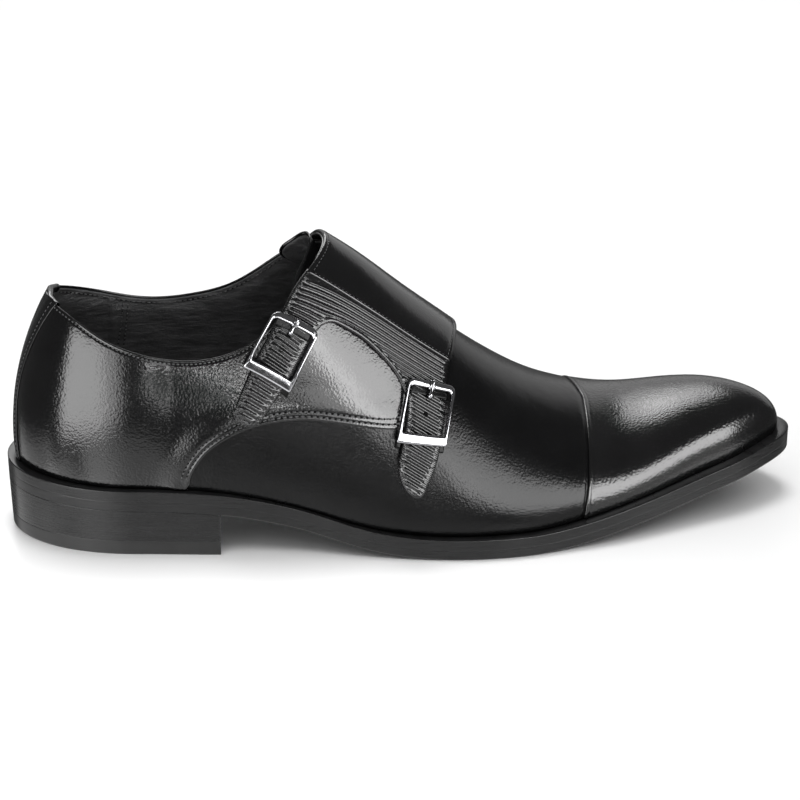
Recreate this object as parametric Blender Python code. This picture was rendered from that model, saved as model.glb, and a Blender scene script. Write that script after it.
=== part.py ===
"""Right double monk strap shoe with a cap toe: sole, heel, upper, tongue, strap flap and buckles.

Lengths are millimetres in the shoe's own frame until a mesh is made: x runs from the back of the
heel to the toe, y is positive on the medial (inner) side, z is up from the floor.
"""
import math

import bmesh
import bpy
import numpy as np
from mathutils import Matrix, Vector, geometry

MM = 0.001

# Driving sizes
LENGTH = 308.0            # heel back to toe tip, over the welt
OUTSOLE = 4.0             # thickness of the outsole
WELT = 4.0                # thickness of the welt
TOP_PIECE = 6.0           # rubber heel top piece
INSOLE = 3.0
INSOLE_CLEAR = 1.4        # between the insole's rim and the lining
WALL = 2.2                # upper leather with its lining
CAP = 1.2                 # toe cap leather
STRAP = 2.5               # flap and straps, two leathers and their lining
TONGUE = 2.0
GAP = 0.3                 # clearance between pieces that touch
WELT_STRIP = 13.0         # width of the welt ring
BREAST = 80.5             # front face of the heel block
HEEL_TAPER = 0.4          # the heel block narrows by this much down to the floor, all round
HEEL_ROUND = 48.0         # length of the rounded back of the sole outline
TOE_POWER = 2.6           # 2 would end the outline in an ellipse, more is blunter
TOE_ROUND = 30.0          # length of the rounded toe of the sole outline
FLAT_FROM = 176.0         # the forepart lies flat from here...
FLAT_TO = 200.0           # ...to here, and springs up ahead of it
HEEL_FAN = 63.0           # sections turn round the heel behind this station
TOE_FAN = 262.0           # and round the toe ahead of this one
CAP_SEAM = 222.0          # edge of the toe cap
REBATE = 1.0              # the vamp is skived by this much under the toe cap
CAP_LIFT = 0.5            # the toe cap stands this far above the vamp
LATERAL, MEDIAL = -1, 1


def smooth(xs, ys):
    """Natural cubic through the points (xs, ys), as a function of x."""
    xs = np.asarray(xs, float)
    ys = np.asarray(ys, float)
    count = len(xs)
    step = np.diff(xs)
    system = np.eye(count)
    bends = np.zeros(count)
    for i in range(1, count - 1):
        system[i, i - 1:i + 2] = step[i - 1], 2 * (step[i - 1] + step[i]), step[i]
        bends[i] = 6 * ((ys[i + 1] - ys[i]) / step[i] - (ys[i] - ys[i - 1]) / step[i - 1])
    bends = np.linalg.solve(system, bends)

    def value(x):
        i = int(np.clip(np.searchsorted(xs, x) - 1, 0, count - 2))
        a = (xs[i + 1] - x) / step[i]
        b = (x - xs[i]) / step[i]
        curve = (a ** 3 - a) * bends[i] + (b ** 3 - b) * bends[i + 1]
        return a * ys[i] + b * ys[i + 1] + curve * step[i] ** 2 / 6

    return value


def columns(names, rows):
    """Each named column of a table as a smooth function of its first column."""
    data = np.array(rows, float).T
    return {name: smooth(data[0], data[i]) for i, name in enumerate(names.split())}


# The sole outline before its heel and toe are rounded off: its middle line and half width
EDGE = columns("x middle half", (
    (0, 1.5, 31.8),
    (48, -1.5, 31.8),
    (80, -5.0, 32.2),
    (111, -7.6, 33.0),
    (142, -7.0, 39.6),
    (172, -2.2, 48.8),
    (200, 1.4, 51.5),
    (214, 2.4, 49.8),
    (228, 2.9, 47.1),
    (250, 3.4, 40.3),
    (271, 2.9, 31.5),
    (285, 1.5, 25.0),
    (297, -0.6, 19.0),
    (308, -3.0, 15.5),
))

# Underside of the outsole above the floor: under the waist, and ahead of the ball
SHANK = columns("x height", (
    (0, 20.8),
    (40, 19.2),
    (82, 17.4),
    (98, 14.5),
    (115, 10.0),
    (132, 4.5),
    (150, 1.2),
    (176, 0.0),
    (200, 0.0),
))
SPRING = columns("x height", (
    (186, 0.0),
    (200, 0.0),
    (215, 1.1),
    (231, 3.5),
    (251, 6.9),
    (271, 10.7),
    (291, 14.7),
    (308, 18.3),
))

# How far the welt shows beyond the upper
MARGIN = columns("x lateral medial", (
    (0, 3.6, 3.6),
    (60, 2.6, 2.4),
    (110, 1.6, 1.4),
    (150, 2.6, 2.6),
    (200, 3.8, 3.8),
    (308, 4.7, 4.7),
))

# Sections of the last across the shoe. ridge_y and ridge_z place the top of a section. On each
# side the wall leaves the welt with its handle bulge outwards and rise upwards, and comes over
# the top with a level handle of the length shoulder.
LAST = columns(
    "x ridge_y ridge_z lat_bulge lat_rise lat_shoulder med_bulge med_rise med_shoulder", (
        (63, 0.0, 128.0, 3.0, 34.0, 21.0, 3.0, 34.0, 21.0),
        (90, 1.0, 125.5, 3.0, 36.0, 23.0, 4.0, 38.0, 22.0),
        (122, 2.0, 113.2, 3.0, 38.0, 26.0, 6.0, 42.0, 24.0),
        (150, 3.0, 90.8, 3.0, 29.0, 28.0, 5.0, 36.0, 26.0),
        (178, 4.5, 66.9, 3.0, 20.0, 30.0, 4.0, 27.0, 28.0),
        (200, 5.5, 50.6, 3.0, 16.5, 31.0, 3.0, 21.0, 29.0),
        (222, 5.5, 40.2, 3.0, 15.0, 29.0, 2.5, 17.0, 28.0),
        (245, 4.0, 36.2, 2.5, 14.5, 26.0, 2.5, 15.5, 26.0),
        (262, 3.0, 39.8, 2.5, 14.5, 23.5, 2.5, 14.5, 23.5),
        (275, 1.2, 41.5, 2.5, 14.0, 21.0, 2.5, 14.0, 21.0),
    ))

# Height of the topline round the collar and up to the throat
TOPLINE = columns("x lateral medial", (
    (19.4, 97.5, 97.5),
    (28, 94.0, 93.0),
    (39, 87.6, 88.0),
    (50, 83.2, 84.0),
    (63, 80.0, 82.2),
    (75, 79.7, 83.3),
    (88, 82.6, 86.6),
    (100, 89.0, 93.6),
    (112, 99.5, 102.6),
    (120, 107.0, 107.5),
))
COLLAR_BACK = 19.4        # x of the topline at the back seam
COLLAR_TAPER = 1.1        # how the collar narrows to the back seam: 1 is an ellipse
THROAT = 120.0            # x where the topline runs in under the flap...
THROAT_END = 142.5        # ...and closes on the ridge


def half_width(x):
    """Half width of the sole at x, with the rounded heel and toe."""
    width = EDGE["half"](x)
    if x < HEEL_ROUND:
        width *= math.sqrt(max(0.0, 1 - ((HEEL_ROUND - x) / HEEL_ROUND) ** 2))
    toe_start = LENGTH - TOE_ROUND
    if x > toe_start:
        width *= math.sqrt(max(0.0, 1 - ((x - toe_start) / TOE_ROUND) ** TOE_POWER))
    return width


def edge_y(x, side):
    return EDGE["middle"](x) + side * half_width(x)


def underside(x):
    """Height of the underside of the outsole at x."""
    if FLAT_FROM < x < FLAT_TO:
        return 0.0
    table = SHANK if x < FLAT_FROM else SPRING
    return max(0.0, table["height"](x))


# A station q runs round the sole: 0 is the back of the heel, 1 (and -1) the toe tip, negative
# values are lateral and positive ones medial.
Q_HEEL, Q_TOE = 0.22, 0.80


def station_x(q):
    """x along the sole edge at station q."""
    q = abs((q + 1) % 2 - 1)
    if q < Q_HEEL:
        return HEEL_FAN * (1 - math.cos(math.pi / 2 * q / Q_HEEL))
    if q > Q_TOE:
        return TOE_FAN + (LENGTH - TOE_FAN) * math.sin(math.pi / 2 * (q - Q_TOE) / (1 - Q_TOE))
    return HEEL_FAN + (TOE_FAN - HEEL_FAN) * (q - Q_HEEL) / (Q_TOE - Q_HEEL)


def side_of(q):
    return LATERAL if (q + 1) % 2 - 1 < 0 else MEDIAL


def sole_edge(q):
    x = station_x(q)
    side = side_of(q)
    return np.array((x, edge_y(x, side)))


def outward(q):
    """Level unit vector square to the sole edge at station q, pointing out."""
    step = 1e-4
    along = sole_edge(q + step) - sole_edge(q - step)
    normal = np.array((-along[1], along[0]))
    return normal / np.linalg.norm(normal)


def margin(q):
    x = station_x(q)
    return MARGIN["lateral" if side_of(q) == LATERAL else "medial"](x)


def inset_edge(q, inset):
    """The sole outline moved in by inset."""
    return sole_edge(q) - outward(q) * inset


def shrunk_edge(q, inset):
    """The sole outline drawn in by about inset, which stays clear of itself at the toe."""
    x, y = sole_edge(q)
    middle = EDGE["middle"](x)
    return np.array((inset + x * (LENGTH - 2 * inset) / LENGTH,
                     middle + (y - middle) * (1 - inset / EDGE["half"](x))))


def feather(q):
    """Foot of the upper's outer face at station q."""
    x, y = inset_edge(q, margin(q))
    return np.array((x, y, underside(x) + OUTSOLE + WELT + 2 * GAP))


def bezier(points, t):
    a, b, c, d = points
    s = 1 - t
    return a * s ** 3 + b * 3 * s * s * t + c * 3 * s * t * t + d * t ** 3


def bezier_start(points, t):
    """Control points of the stretch of a cubic from 0 to t."""
    a, b, c, d = points
    ab = a + (b - a) * t
    bc = b + (c - b) * t
    cd = c + (d - c) * t
    abc = ab + (bc - ab) * t
    bcd = bc + (cd - bc) * t
    return [a, ab, abc, abc + (bcd - abc) * t]


def last_section(x, side):
    """Control points of a whole section of the last at x, from the feather to the ridge."""
    prefix = "lat_" if side == LATERAL else "med_"
    q_guess = Q_HEEL + (x - HEEL_FAN) / (TOE_FAN - HEEL_FAN) * (Q_TOE - Q_HEEL)
    slope = edge_y(x + 0.5, side) - edge_y(x - 0.5, side)
    inset = margin(side * q_guess) * math.sqrt(1 + slope * slope)
    foot = np.array((x, edge_y(x, side) - side * inset,
                     underside(x) + OUTSOLE + WELT + 2 * GAP))
    top = np.array((x, LAST["ridge_y"](x), LAST["ridge_z"](x)))
    lift = np.array((0, side * LAST[prefix + "bulge"](x), LAST[prefix + "rise"](x)))
    level = np.array((0, side * LAST[prefix + "shoulder"](x), 0))
    return [foot, foot + lift, top + level, top]


def height_at(points, z):
    """Parameter at which a section reaches height z."""
    low, high = 0.0, 1.0
    for _ in range(40):
        middle = (low + high) / 2
        if bezier(points, middle)[2] < z:
            low = middle
        else:
            high = middle
    return low


def topline(x, side):
    return TOPLINE["lateral" if side == LATERAL else "medial"](x)


def collar_cut(x, side):
    """Parameter where the upper ends on the section at x: the topline, then the throat's edge."""
    if x >= THROAT_END:
        return 1.0
    if x <= THROAT:
        return height_at(last_section(x, side), topline(x, side))
    at_throat = height_at(last_section(THROAT, side), topline(THROAT, side))
    share = (x - THROAT) / (THROAT_END - THROAT)
    return 1 - (1 - at_throat) * math.sqrt(1 - share * share)


# Handles of the section at the back seam, and of the one from the toe tip to the toe's high point
BACK = {"low_bulge": 1.8, "rise": 22.0, "top_bulge": 10.4, "drop": -19.5}
TIP = {"bulge": 1.5, "rise": 14.5, "shoulder": 29.0}


def mix(a, b, share):
    return a * (1 - share) + b * share


def heel_section(q, turn, side):
    """A section that turns round the back of the heel, from the back seam to the side."""
    side_points = last_section(HEEL_FAN, side)
    side_points = bezier_start(side_points, collar_cut(HEEL_FAN, side))
    angle = math.pi / 2 * turn / Q_HEEL
    share = math.sin(angle) ** 2
    facing = np.array((-math.cos(angle), side * math.sin(angle), 0))
    up = np.array((0, 0, 1.0))
    low = side_points[1] - side_points[0]
    high = side_points[2] - side_points[3]
    foot = feather(q)
    x = HEEL_FAN - (HEEL_FAN - COLLAR_BACK) * math.cos(angle)
    top = np.array((x, side_points[3][1] * math.sin(angle) ** COLLAR_TAPER, topline(x, side)))
    low_handle = (facing * mix(BACK["low_bulge"], side * low[1], share)
                  + up * mix(BACK["rise"], low[2], share))
    high_handle = (facing * mix(BACK["top_bulge"], side * high[1], share)
                   + up * mix(BACK["drop"], high[2], share))
    return [foot, foot + low_handle, top + high_handle, top]


def toe_section(q, turn, side):
    """A section that turns round the toe, from the side to the toe tip."""
    prefix = "lat_" if side == LATERAL else "med_"
    angle = math.pi / 2 * (turn - Q_TOE) / (1 - Q_TOE)
    share = math.sin(angle) ** 2
    top = np.array((TOE_FAN, LAST["ridge_y"](TOE_FAN), LAST["ridge_z"](TOE_FAN)))
    climb = LAST["ridge_z"](TOE_FAN + 0.5) - LAST["ridge_z"](TOE_FAN - 0.5)
    drift = LAST["ridge_y"](TOE_FAN + 0.5) - LAST["ridge_y"](TOE_FAN - 0.5)
    foot = feather(q)
    facing = np.array((math.sin(angle), side * math.cos(angle), 0))
    bulge = mix(LAST[prefix + "bulge"](TOE_FAN), TIP["bulge"], share)
    rise = mix(LAST[prefix + "rise"](TOE_FAN), TIP["rise"], share)
    reach = mix(LAST[prefix + "shoulder"](TOE_FAN), TIP["shoulder"], share)
    ahead = math.sin(angle)
    away = np.array((ahead, side * math.cos(angle) + drift * ahead, climb * ahead))
    return [foot, foot + facing * bulge + np.array((0, 0, rise)), top + away * reach, top]


def upper_section(q):
    """Control points of the upper's outer face at station q, feather to topline or ridge."""
    side = side_of(q)
    turn = abs((q + 1) % 2 - 1)
    if turn < Q_HEEL:
        return heel_section(q, turn, side)
    if turn > Q_TOE:
        return toe_section(q, turn, side)
    x = station_x(q)
    return bezier_start(last_section(x, side), collar_cut(x, side))


def station_rows(heel, middle, toe):
    """Stations round the whole shoe, from the heel back along the medial side and round."""
    half = [Q_HEEL * i / heel for i in range(heel)]
    half += [Q_HEEL + (Q_TOE - Q_HEEL) * i / middle for i in range(middle)]
    half += [Q_TOE + (1 - Q_TOE) * i / toe for i in range(toe + 1)]
    return half + [-q for q in reversed(half[1:-1])]


HEEL_STEPS, MIDDLE_STEPS, TOE_STEPS = 8, 25, 8
UPPER_RINGS = 13
STATIONS = station_rows(HEEL_STEPS, MIDDLE_STEPS, TOE_STEPS)


# Meshes
def make_mesh(name, points, faces, material):
    """One closed object from points in millimetres."""
    mesh = bpy.data.meshes.new(name)
    mesh.from_pydata([tuple(float(c) * MM for c in p) for p in points], [], faces)
    work = bmesh.new()
    work.from_mesh(mesh)
    bmesh.ops.remove_doubles(work, verts=work.verts, dist=0.00001)
    bmesh.ops.recalc_face_normals(work, faces=work.faces)
    work.to_mesh(mesh)
    work.free()
    mesh.shade_smooth()
    mesh.set_sharp_from_angle(angle=math.radians(35))
    mesh.materials.append(material)
    piece = bpy.data.objects.new(name, mesh)
    bpy.context.collection.objects.link(piece)
    return piece


def grid_faces(rows, count, closed):
    """Quads between rows of count points each, closed round each row or not."""
    span = count if closed else count - 1
    faces = []
    for r in range(rows - 1):
        for i in range(span):
            j = (i + 1) % count
            faces.append((r * count + i, r * count + j, (r + 1) * count + j, (r + 1) * count + i))
    return faces


def slab(name, outlines, material):
    """A solid from loops of points of equal count, the first and last loop filled."""
    count = len(outlines[0])
    points = [p for loop in outlines for p in loop]
    faces = grid_faces(len(outlines), count, True)
    for start in (0, (len(outlines) - 1) * count):
        half = count // 2
        for i in range(half):
            a, b = start + i, start + (i + 1) % count
            c, d = start + (count - i - 1) % count, start + (count - i) % count
            ring = [a, b, c, d]
            face = [v for k, v in enumerate(ring) if v not in ring[:k]]
            if len(face) > 2:
                faces.append(tuple(face))
    return make_mesh(name, points, faces, material)


def finish(name, colour, roughness, metallic=0.0):
    material = bpy.data.materials.new(name)
    material.use_nodes = True
    shader = material.node_tree.nodes["Principled BSDF"]
    shader.inputs["Base Color"].default_value = (*colour, 1)
    shader.inputs["Roughness"].default_value = roughness
    shader.inputs["Metallic"].default_value = metallic
    return material


GIRTH_STEPS = 60


def on_last(x, g):
    """The point on the last at x, g mm of leather from the ridge (medial +)."""
    section = last_section(x, LATERAL if g < 0 else MEDIAL)
    line = np.array([bezier(section, t) for t in np.linspace(1, 0, GIRTH_STEPS)])
    girth = np.concatenate(([0], np.cumsum(np.linalg.norm(np.diff(line, axis=0), axis=1))))
    return np.array([np.interp(abs(g), girth, line[:, axis]) for axis in range(3)])


def pattern_point(x, g, lift):
    """The point of the last at x and g, lifted square off it."""
    step = 1.0
    along = on_last(x + step, g) - on_last(x - step, g)
    across = on_last(x, g + step) - on_last(x, g - step)
    normal = np.cross(along, across)
    return on_last(x, g) + normal / np.linalg.norm(normal) * lift


def curve_through(rows, spacing):
    """Points about spacing apart on a smooth curve through the rows, without its last point."""
    rows = np.array(rows, float)
    length = np.concatenate(([0], np.cumsum(np.linalg.norm(np.diff(rows, axis=0), axis=1))))
    count = max(1, round(length[-1] / spacing))
    line = [smooth(length, rows[:, axis]) for axis in (0, 1)]
    return [(line[0](d), line[1](d)) for d in np.linspace(0, length[-1], count + 1)[:-1]]


# Edges of the flap and its two straps as cut from leather: x, and girth from the ridge
FLAP_REAR_EDGE = ((107, 46), (110, 34), (117, 21), (121.3, 9), (122.7, -2), (119.7, -12.1),
                  (115.8, -20.0), (110.1, -28.8), (106.0, -38), (96.6, -55.4), (91.0, -67.5),
                  (87.0, -78.0))
REAR_STRAP_END = ((87.0, -78.0), (88.2, -81.2), (93.1, -83.8), (97.6, -79.8))
REAR_STRAP_FRONT = ((97.6, -79.8), (103.8, -69.3), (108.7, -60.5), (117.2, -42.6), (120.3, -37.6))
NOTCH = ((120.3, -37.6), (124.7, -34.6), (135.2, -34.4), (142.5, -36.6), (148.0, -39.8),
         (151.6, -45.6))
FRONT_STRAP_REAR = ((151.6, -45.6), (150.6, -58.5), (148.8, -67.5), (147.8, -74.0))
FRONT_STRAP_END = ((147.8, -74.0), (149.3, -80.2), (154.3, -82.0), (158.3, -76.0))
FRONT_EDGE = ((158.3, -76.0), (161.8, -65), (165.2, -48), (167.5, -31), (170.0, -18.3),
              (173.1, -5.0), (174.4, 6), (173, 20), (168, 34))
FLAP_FOOT = ((168, 34), (160, 44), (140, 48), (120, 48), (107, 46))
FLAP_EDGES = (FLAP_REAR_EDGE, REAR_STRAP_END, REAR_STRAP_FRONT, NOTCH, FRONT_STRAP_REAR,
              FRONT_STRAP_END, FRONT_EDGE, FLAP_FOOT)
FLAP_LIFT = 0.45          # inner face of the flap off the upper

TONGUE_EDGE = ((116.5, 0), (115.6, 8), (113.5, 15), (112.5, 21), (117, 25.5), (130, 25),
               (150, 20), (156, 10), (157, 0), (156, -10), (150, -20), (130, -24), (117, -24.5),
               (112.5, -20.5), (113.5, -15), (115.6, -8), (116.5, 0))
TONGUE_GAP = 1.7         # outer face of the tongue below the upper's lining
TONGUE_FLARE = 4.5        # the tongue's top stands up by this much behind the flap
FLARE_HALF = 18.0         # half width of the part that stands up

# Corners of the buckle frames on the straps: x and girth
REAR_BUCKLE = {"top_rear": (103.3, -37.4), "top_front": (119.5, -40.4),
               "foot_rear": (90.7, -60.2), "foot_front": (107.8, -67.1)}
FRONT_BUCKLE = {"top_rear": (151.5, -38.6), "top_front": (169.5, -32.2),
                "foot_rear": (146.7, -65.2), "foot_front": (165.1, -56.8)}
BUCKLE_LIFT = FLAP_LIFT + STRAP + GAP
BUCKLE_THICK = 1.8
BEVEL = 0.5
BAR = {"top": 1.7, "side": 1.5, "foot": 4.4}
CORNER = {"outer": 2.6, "inner": 1.2}
PRONG = {"length": 5.6, "root": 1.3, "tip": 0.9, "thick": 1.2}


def main():
    for old in list(bpy.data.objects):
        bpy.data.objects.remove(old)
    calf = finish("black_calf", (0.012, 0.012, 0.013), 0.25)
    ribbed = finish("ribbed_calf", (0.02, 0.02, 0.021), 0.4)
    lining = finish("lining", (0.03, 0.03, 0.032), 0.7)
    edge_black = finish("sole_edge", (0.02, 0.02, 0.021), 0.35)
    rubber = finish("rubber", (0.018, 0.018, 0.018), 0.6)
    steel = finish("buckle_metal", (0.5, 0.5, 0.52), 0.15, 1.0)
    build_sole(edge_black, lining)
    build_heel(edge_black, rubber)
    build_upper(calf)
    build_toe_cap(calf)
    leather_piece("tongue", (TONGUE_EDGE,), tongue_lift, TONGUE, lining)
    leather_piece("monk_flap", FLAP_EDGES, lambda x, g: FLAP_LIFT, STRAP, ribbed)
    for name, corners in (("rear", REAR_BUCKLE), ("front", FRONT_BUCKLE)):
        build_buckle(name, corners, steel)
    sides = [sole_edge(q)[1] for q in STATIONS]
    centre = Vector((LENGTH / 2, (min(sides) + max(sides)) / 2, 0))
    for piece in bpy.data.objects:
        piece.data.transform(Matrix.Translation(-centre * MM))


def sole_loop(inset, lift):
    """Points round the sole outline drawn in by inset(q), lifted off the sole's underside."""
    points = []
    for q in STATIONS:
        x, y = shrunk_edge(q, inset(q))
        points.append((x, y, underside(x) + lift))
    return points


def build_sole(edge_black, lining):
    def rim(q):
        return 0.0

    def strip(q):
        return WELT_STRIP

    def insole_inset(q):
        return margin(q) + WALL + REBATE + INSOLE_CLEAR

    slab("outsole", [sole_loop(rim, 0), sole_loop(rim, OUTSOLE)], edge_black)
    low = OUTSOLE + GAP
    high = low + WELT
    loops = [sole_loop(rim, low), sole_loop(rim, high),
             sole_loop(strip, high), sole_loop(strip, low), sole_loop(rim, low)]
    points = [p for loop in loops for p in loop]
    make_mesh("welt", points, grid_faces(len(loops), len(STATIONS), True), edge_black)
    seat = high + GAP
    slab("insole", [sole_loop(insole_inset, seat), sole_loop(insole_inset, seat + INSOLE)], lining)


def heel_outline(inset):
    """Points round the heel block, from the back round to the straight breast and back again."""
    turns = [q for q in STATIONS if station_x(q) < BREAST - 4]
    medial = [tuple(inset_edge(q, inset)) for q in turns if side_of(q) == MEDIAL]
    lateral = [tuple(inset_edge(q, inset)) for q in turns if side_of(q) == LATERAL]
    x = BREAST - inset
    breast = [(x, EDGE["middle"](x) + (half_width(x) - inset) * share)
              for share in np.linspace(1, -1, 7)]
    return medial + breast + lateral


def build_heel(edge_black, rubber):
    def level(inset, height):
        return [(x, y, height(x)) for x, y in heel_outline(inset)]

    top = level(0.0, lambda x: underside(x) - GAP)
    joint = HEEL_TAPER * (1 - TOP_PIECE / SHANK["height"](0))
    block_foot = level(joint, lambda x: TOP_PIECE + GAP)
    slab("heel_stack", [block_foot, top], edge_black)
    piece_top = level(joint, lambda x: TOP_PIECE)
    piece_foot = level(HEEL_TAPER, lambda x: 0.0)
    slab("heel_top_piece", [piece_foot, piece_top], rubber)


def skin(name, stations, rings, closed, lift, thickness, material):
    """A leather shell on the last: its outer face is lifted by lift(x), its wall goes inwards."""
    points = [bezier(upper_section(q), r / (rings - 1)) for r in range(rings) for q in stations]
    shell = make_mesh(name, points, grid_faces(rings, len(stations), closed), material)
    work = bmesh.new()
    work.from_mesh(shell.data)
    work.normal_update()
    centre = Vector((LENGTH / 2, 0, 30)) * MM
    outside = sum(face.normal.dot(face.calc_center_median() - centre) for face in work.faces)
    if outside < 0:
        bmesh.ops.reverse_faces(work, faces=work.faces)
        work.normal_update()
    for vert, normal in [(v, v.normal.copy()) for v in work.verts]:
        vert.co += normal * lift(vert.co.x / MM) * MM
    work.to_mesh(shell.data)
    work.free()
    wall = shell.modifiers.new("wall", "SOLIDIFY")
    wall.thickness = thickness * MM
    wall.offset = -1
    wall.use_even_offset = True
    return shell


def vamp_lift(x):
    """The vamp is skived where it runs under the toe cap."""
    step = (TOE_FAN - HEEL_FAN) / MIDDLE_STEPS
    return -REBATE * min(1, max(0, (x - CAP_SEAM + step) / step))


def build_upper(calf):
    skin("upper", STATIONS, UPPER_RINGS, True, vamp_lift, WALL, calf)


def build_toe_cap(calf):
    stations = [q for q in STATIONS if station_x(q) > CAP_SEAM - 0.5]
    skin("toe_cap", stations, UPPER_RINGS, False, lambda x: CAP_LIFT, CAP, calf)


def leather_piece(name, edges, lift, thickness, material):
    """A flat cut piece of leather laid on the upper, from its edges in pattern sizes."""
    spacing = 6.0
    outline = [p for edge in edges for p in curve_through(edge, spacing)]
    lows, highs = np.min(outline, axis=0), np.max(outline, axis=0)
    inner = []
    for x in np.arange(lows[0], highs[0], spacing):
        for g in np.arange(lows[1], highs[1], spacing):
            if inside(outline, x, g) and clear_of(outline, x, g, spacing * 0.45):
                inner.append((x, g))
    flat = [Vector(p) for p in outline + inner]
    count = len(outline)
    rim = [(i, (i + 1) % count) for i in range(count)]
    verts, _, faces, *_ = geometry.delaunay_2d_cdt(flat, rim, [], 1, 0.001)
    points = [pattern_point(v.x, v.y, lift(v.x, v.y) + thickness) for v in verts]
    points += [pattern_point(v.x, v.y, lift(v.x, v.y)) for v in verts]
    under = len(verts)
    solid = [tuple(face) for face in faces]
    solid += [tuple(under + i for i in reversed(face)) for face in faces]
    solid += [(j, i, under + i, under + j) for i, j in rim]
    return make_mesh(name, points, solid, material)


def tongue_lift(x, g):
    """The tongue lies inside the upper and stands up where it comes out behind the flap."""
    rear = [row for row in FLAP_REAR_EDGE if abs(row[1]) < 40][::-1]
    edge = np.interp(g, [row[1] for row in rear], [row[0] for row in rear])
    flare = min(1.0, max(0.0, (edge - x - 1.0) / 5.0))
    flare *= 0.5 + 0.5 * math.cos(math.pi * min(1.0, abs(g) / FLARE_HALF))
    return -WALL - TONGUE_GAP - TONGUE + TONGUE_FLARE * flare


def inside(outline, x, y):
    hit = False
    for (ax, ay), (bx, by) in zip(outline, outline[1:] + outline[:1]):
        if (ay > y) != (by > y) and x < (bx - ax) * (y - ay) / (by - ay) + ax:
            hit = not hit
    return hit


def clear_of(outline, x, y, distance):
    return min(math.hypot(x - a, y - b) for a, b in outline) > distance


def build_buckle(name, corners, steel):
    """A frame that lies on the strap, and its prong, both curved to the foot."""
    top = np.array((corners["top_rear"], corners["top_front"]))
    foot = np.array((corners["foot_rear"], corners["foot_front"]))

    def place(across, along, lift):
        """across 0 rear to 1 front, along 0 top bar to 1 foot bar."""
        start = top[0] + (top[1] - top[0]) * across
        end = foot[0] + (foot[1] - foot[0]) * across
        x, g = start + (end - start) * along
        return pattern_point(x, g, lift)

    width = np.linalg.norm(place(1, 0.5, BUCKLE_LIFT) - place(0, 0.5, BUCKLE_LIFT))
    length = np.linalg.norm(place(0.5, 1, BUCKLE_LIFT) - place(0.5, 0, BUCKLE_LIFT))

    def outer(inset):
        across, along = inset / width, inset / length
        return frame_loop(across, 1 - across, along, 1 - along,
                          CORNER["outer"] / width, CORNER["outer"] / length)

    def inner(inset):
        across = (BAR["side"] - inset) / width
        return frame_loop(across, 1 - across, (BAR["top"] - inset) / length,
                          1 - (BAR["foot"] - inset) / length,
                          CORNER["inner"] / width, CORNER["inner"] / length)

    low, high = BUCKLE_LIFT, BUCKLE_LIFT + BUCKLE_THICK
    section = ((inner(0), low), (outer(0), low), (outer(0), high - BEVEL), (outer(BEVEL), high),
               (inner(BEVEL), high), (inner(0), high - BEVEL), (inner(0), low))
    points = [place(u, w, lift) for loop, lift in section for u, w in loop]
    make_mesh("buckle_frame_" + name, points,
              grid_faces(len(section), len(outer(0)), True), steel)
    start, end = (BAR["top"] + GAP) / length, (BAR["top"] + PRONG["length"]) / length
    root, tip = PRONG["root"] / width / 2, PRONG["tip"] / width / 2
    box = [(0.5 - root, start), (0.5 + root, start), (0.5 + tip, end), (0.5 - tip, end)]
    slab("buckle_prong_" + name, [[place(u, w, low) for u, w in box],
                                  [place(u, w, low + PRONG["thick"]) for u, w in box]], steel)


def frame_loop(left, right, top, foot, round_across, round_along):
    """A frame outline with its two top corners rounded and its foot corners square."""
    loop = [(left + round_across * (1 - math.cos(a)), top + round_along * (1 - math.sin(a)))
            for a in np.linspace(0, math.pi / 2, 4)]
    loop += [(left + (right - left) * f, top) for f in (0.35, 0.5, 0.65)]
    loop += [(right - round_across * (1 - math.sin(a)), top + round_along * (1 - math.cos(a)))
             for a in np.linspace(0, math.pi / 2, 4)]
    loop += [(right, top + (foot - top) * f) for f in (0.4, 0.7, 1.0)]
    loop += [(right + (left - right) * f, foot) for f in (0.3, 0.5, 0.7, 1.0)]
    loop += [(left, foot + (top - foot) * f) for f in (0.3, 0.6)]
    return loop


main()
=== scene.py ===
"""Looks of a right double monk strap shoe with a cap toe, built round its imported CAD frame.

Lengths are millimetres in the shoe's own frame until a mesh is made: x runs from the back of the
heel to the toe, y is positive on the medial (inner) side, z is up from the floor.
"""

import math

import bmesh
import bpy
import numpy as np
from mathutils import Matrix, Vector, geometry


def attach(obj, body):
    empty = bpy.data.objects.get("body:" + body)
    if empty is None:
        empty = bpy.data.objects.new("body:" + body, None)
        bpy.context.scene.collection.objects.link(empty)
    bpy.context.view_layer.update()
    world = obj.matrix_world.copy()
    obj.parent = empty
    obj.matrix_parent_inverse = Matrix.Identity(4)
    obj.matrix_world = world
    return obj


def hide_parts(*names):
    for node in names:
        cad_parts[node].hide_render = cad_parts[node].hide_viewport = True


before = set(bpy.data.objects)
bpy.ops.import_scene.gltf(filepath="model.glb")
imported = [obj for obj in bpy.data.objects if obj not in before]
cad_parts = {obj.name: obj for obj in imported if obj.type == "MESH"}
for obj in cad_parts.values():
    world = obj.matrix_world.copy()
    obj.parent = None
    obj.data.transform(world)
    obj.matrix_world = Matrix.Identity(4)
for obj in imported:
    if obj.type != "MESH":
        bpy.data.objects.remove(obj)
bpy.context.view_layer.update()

MM = 0.001
LATERAL, MEDIAL = -1, 1

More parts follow.
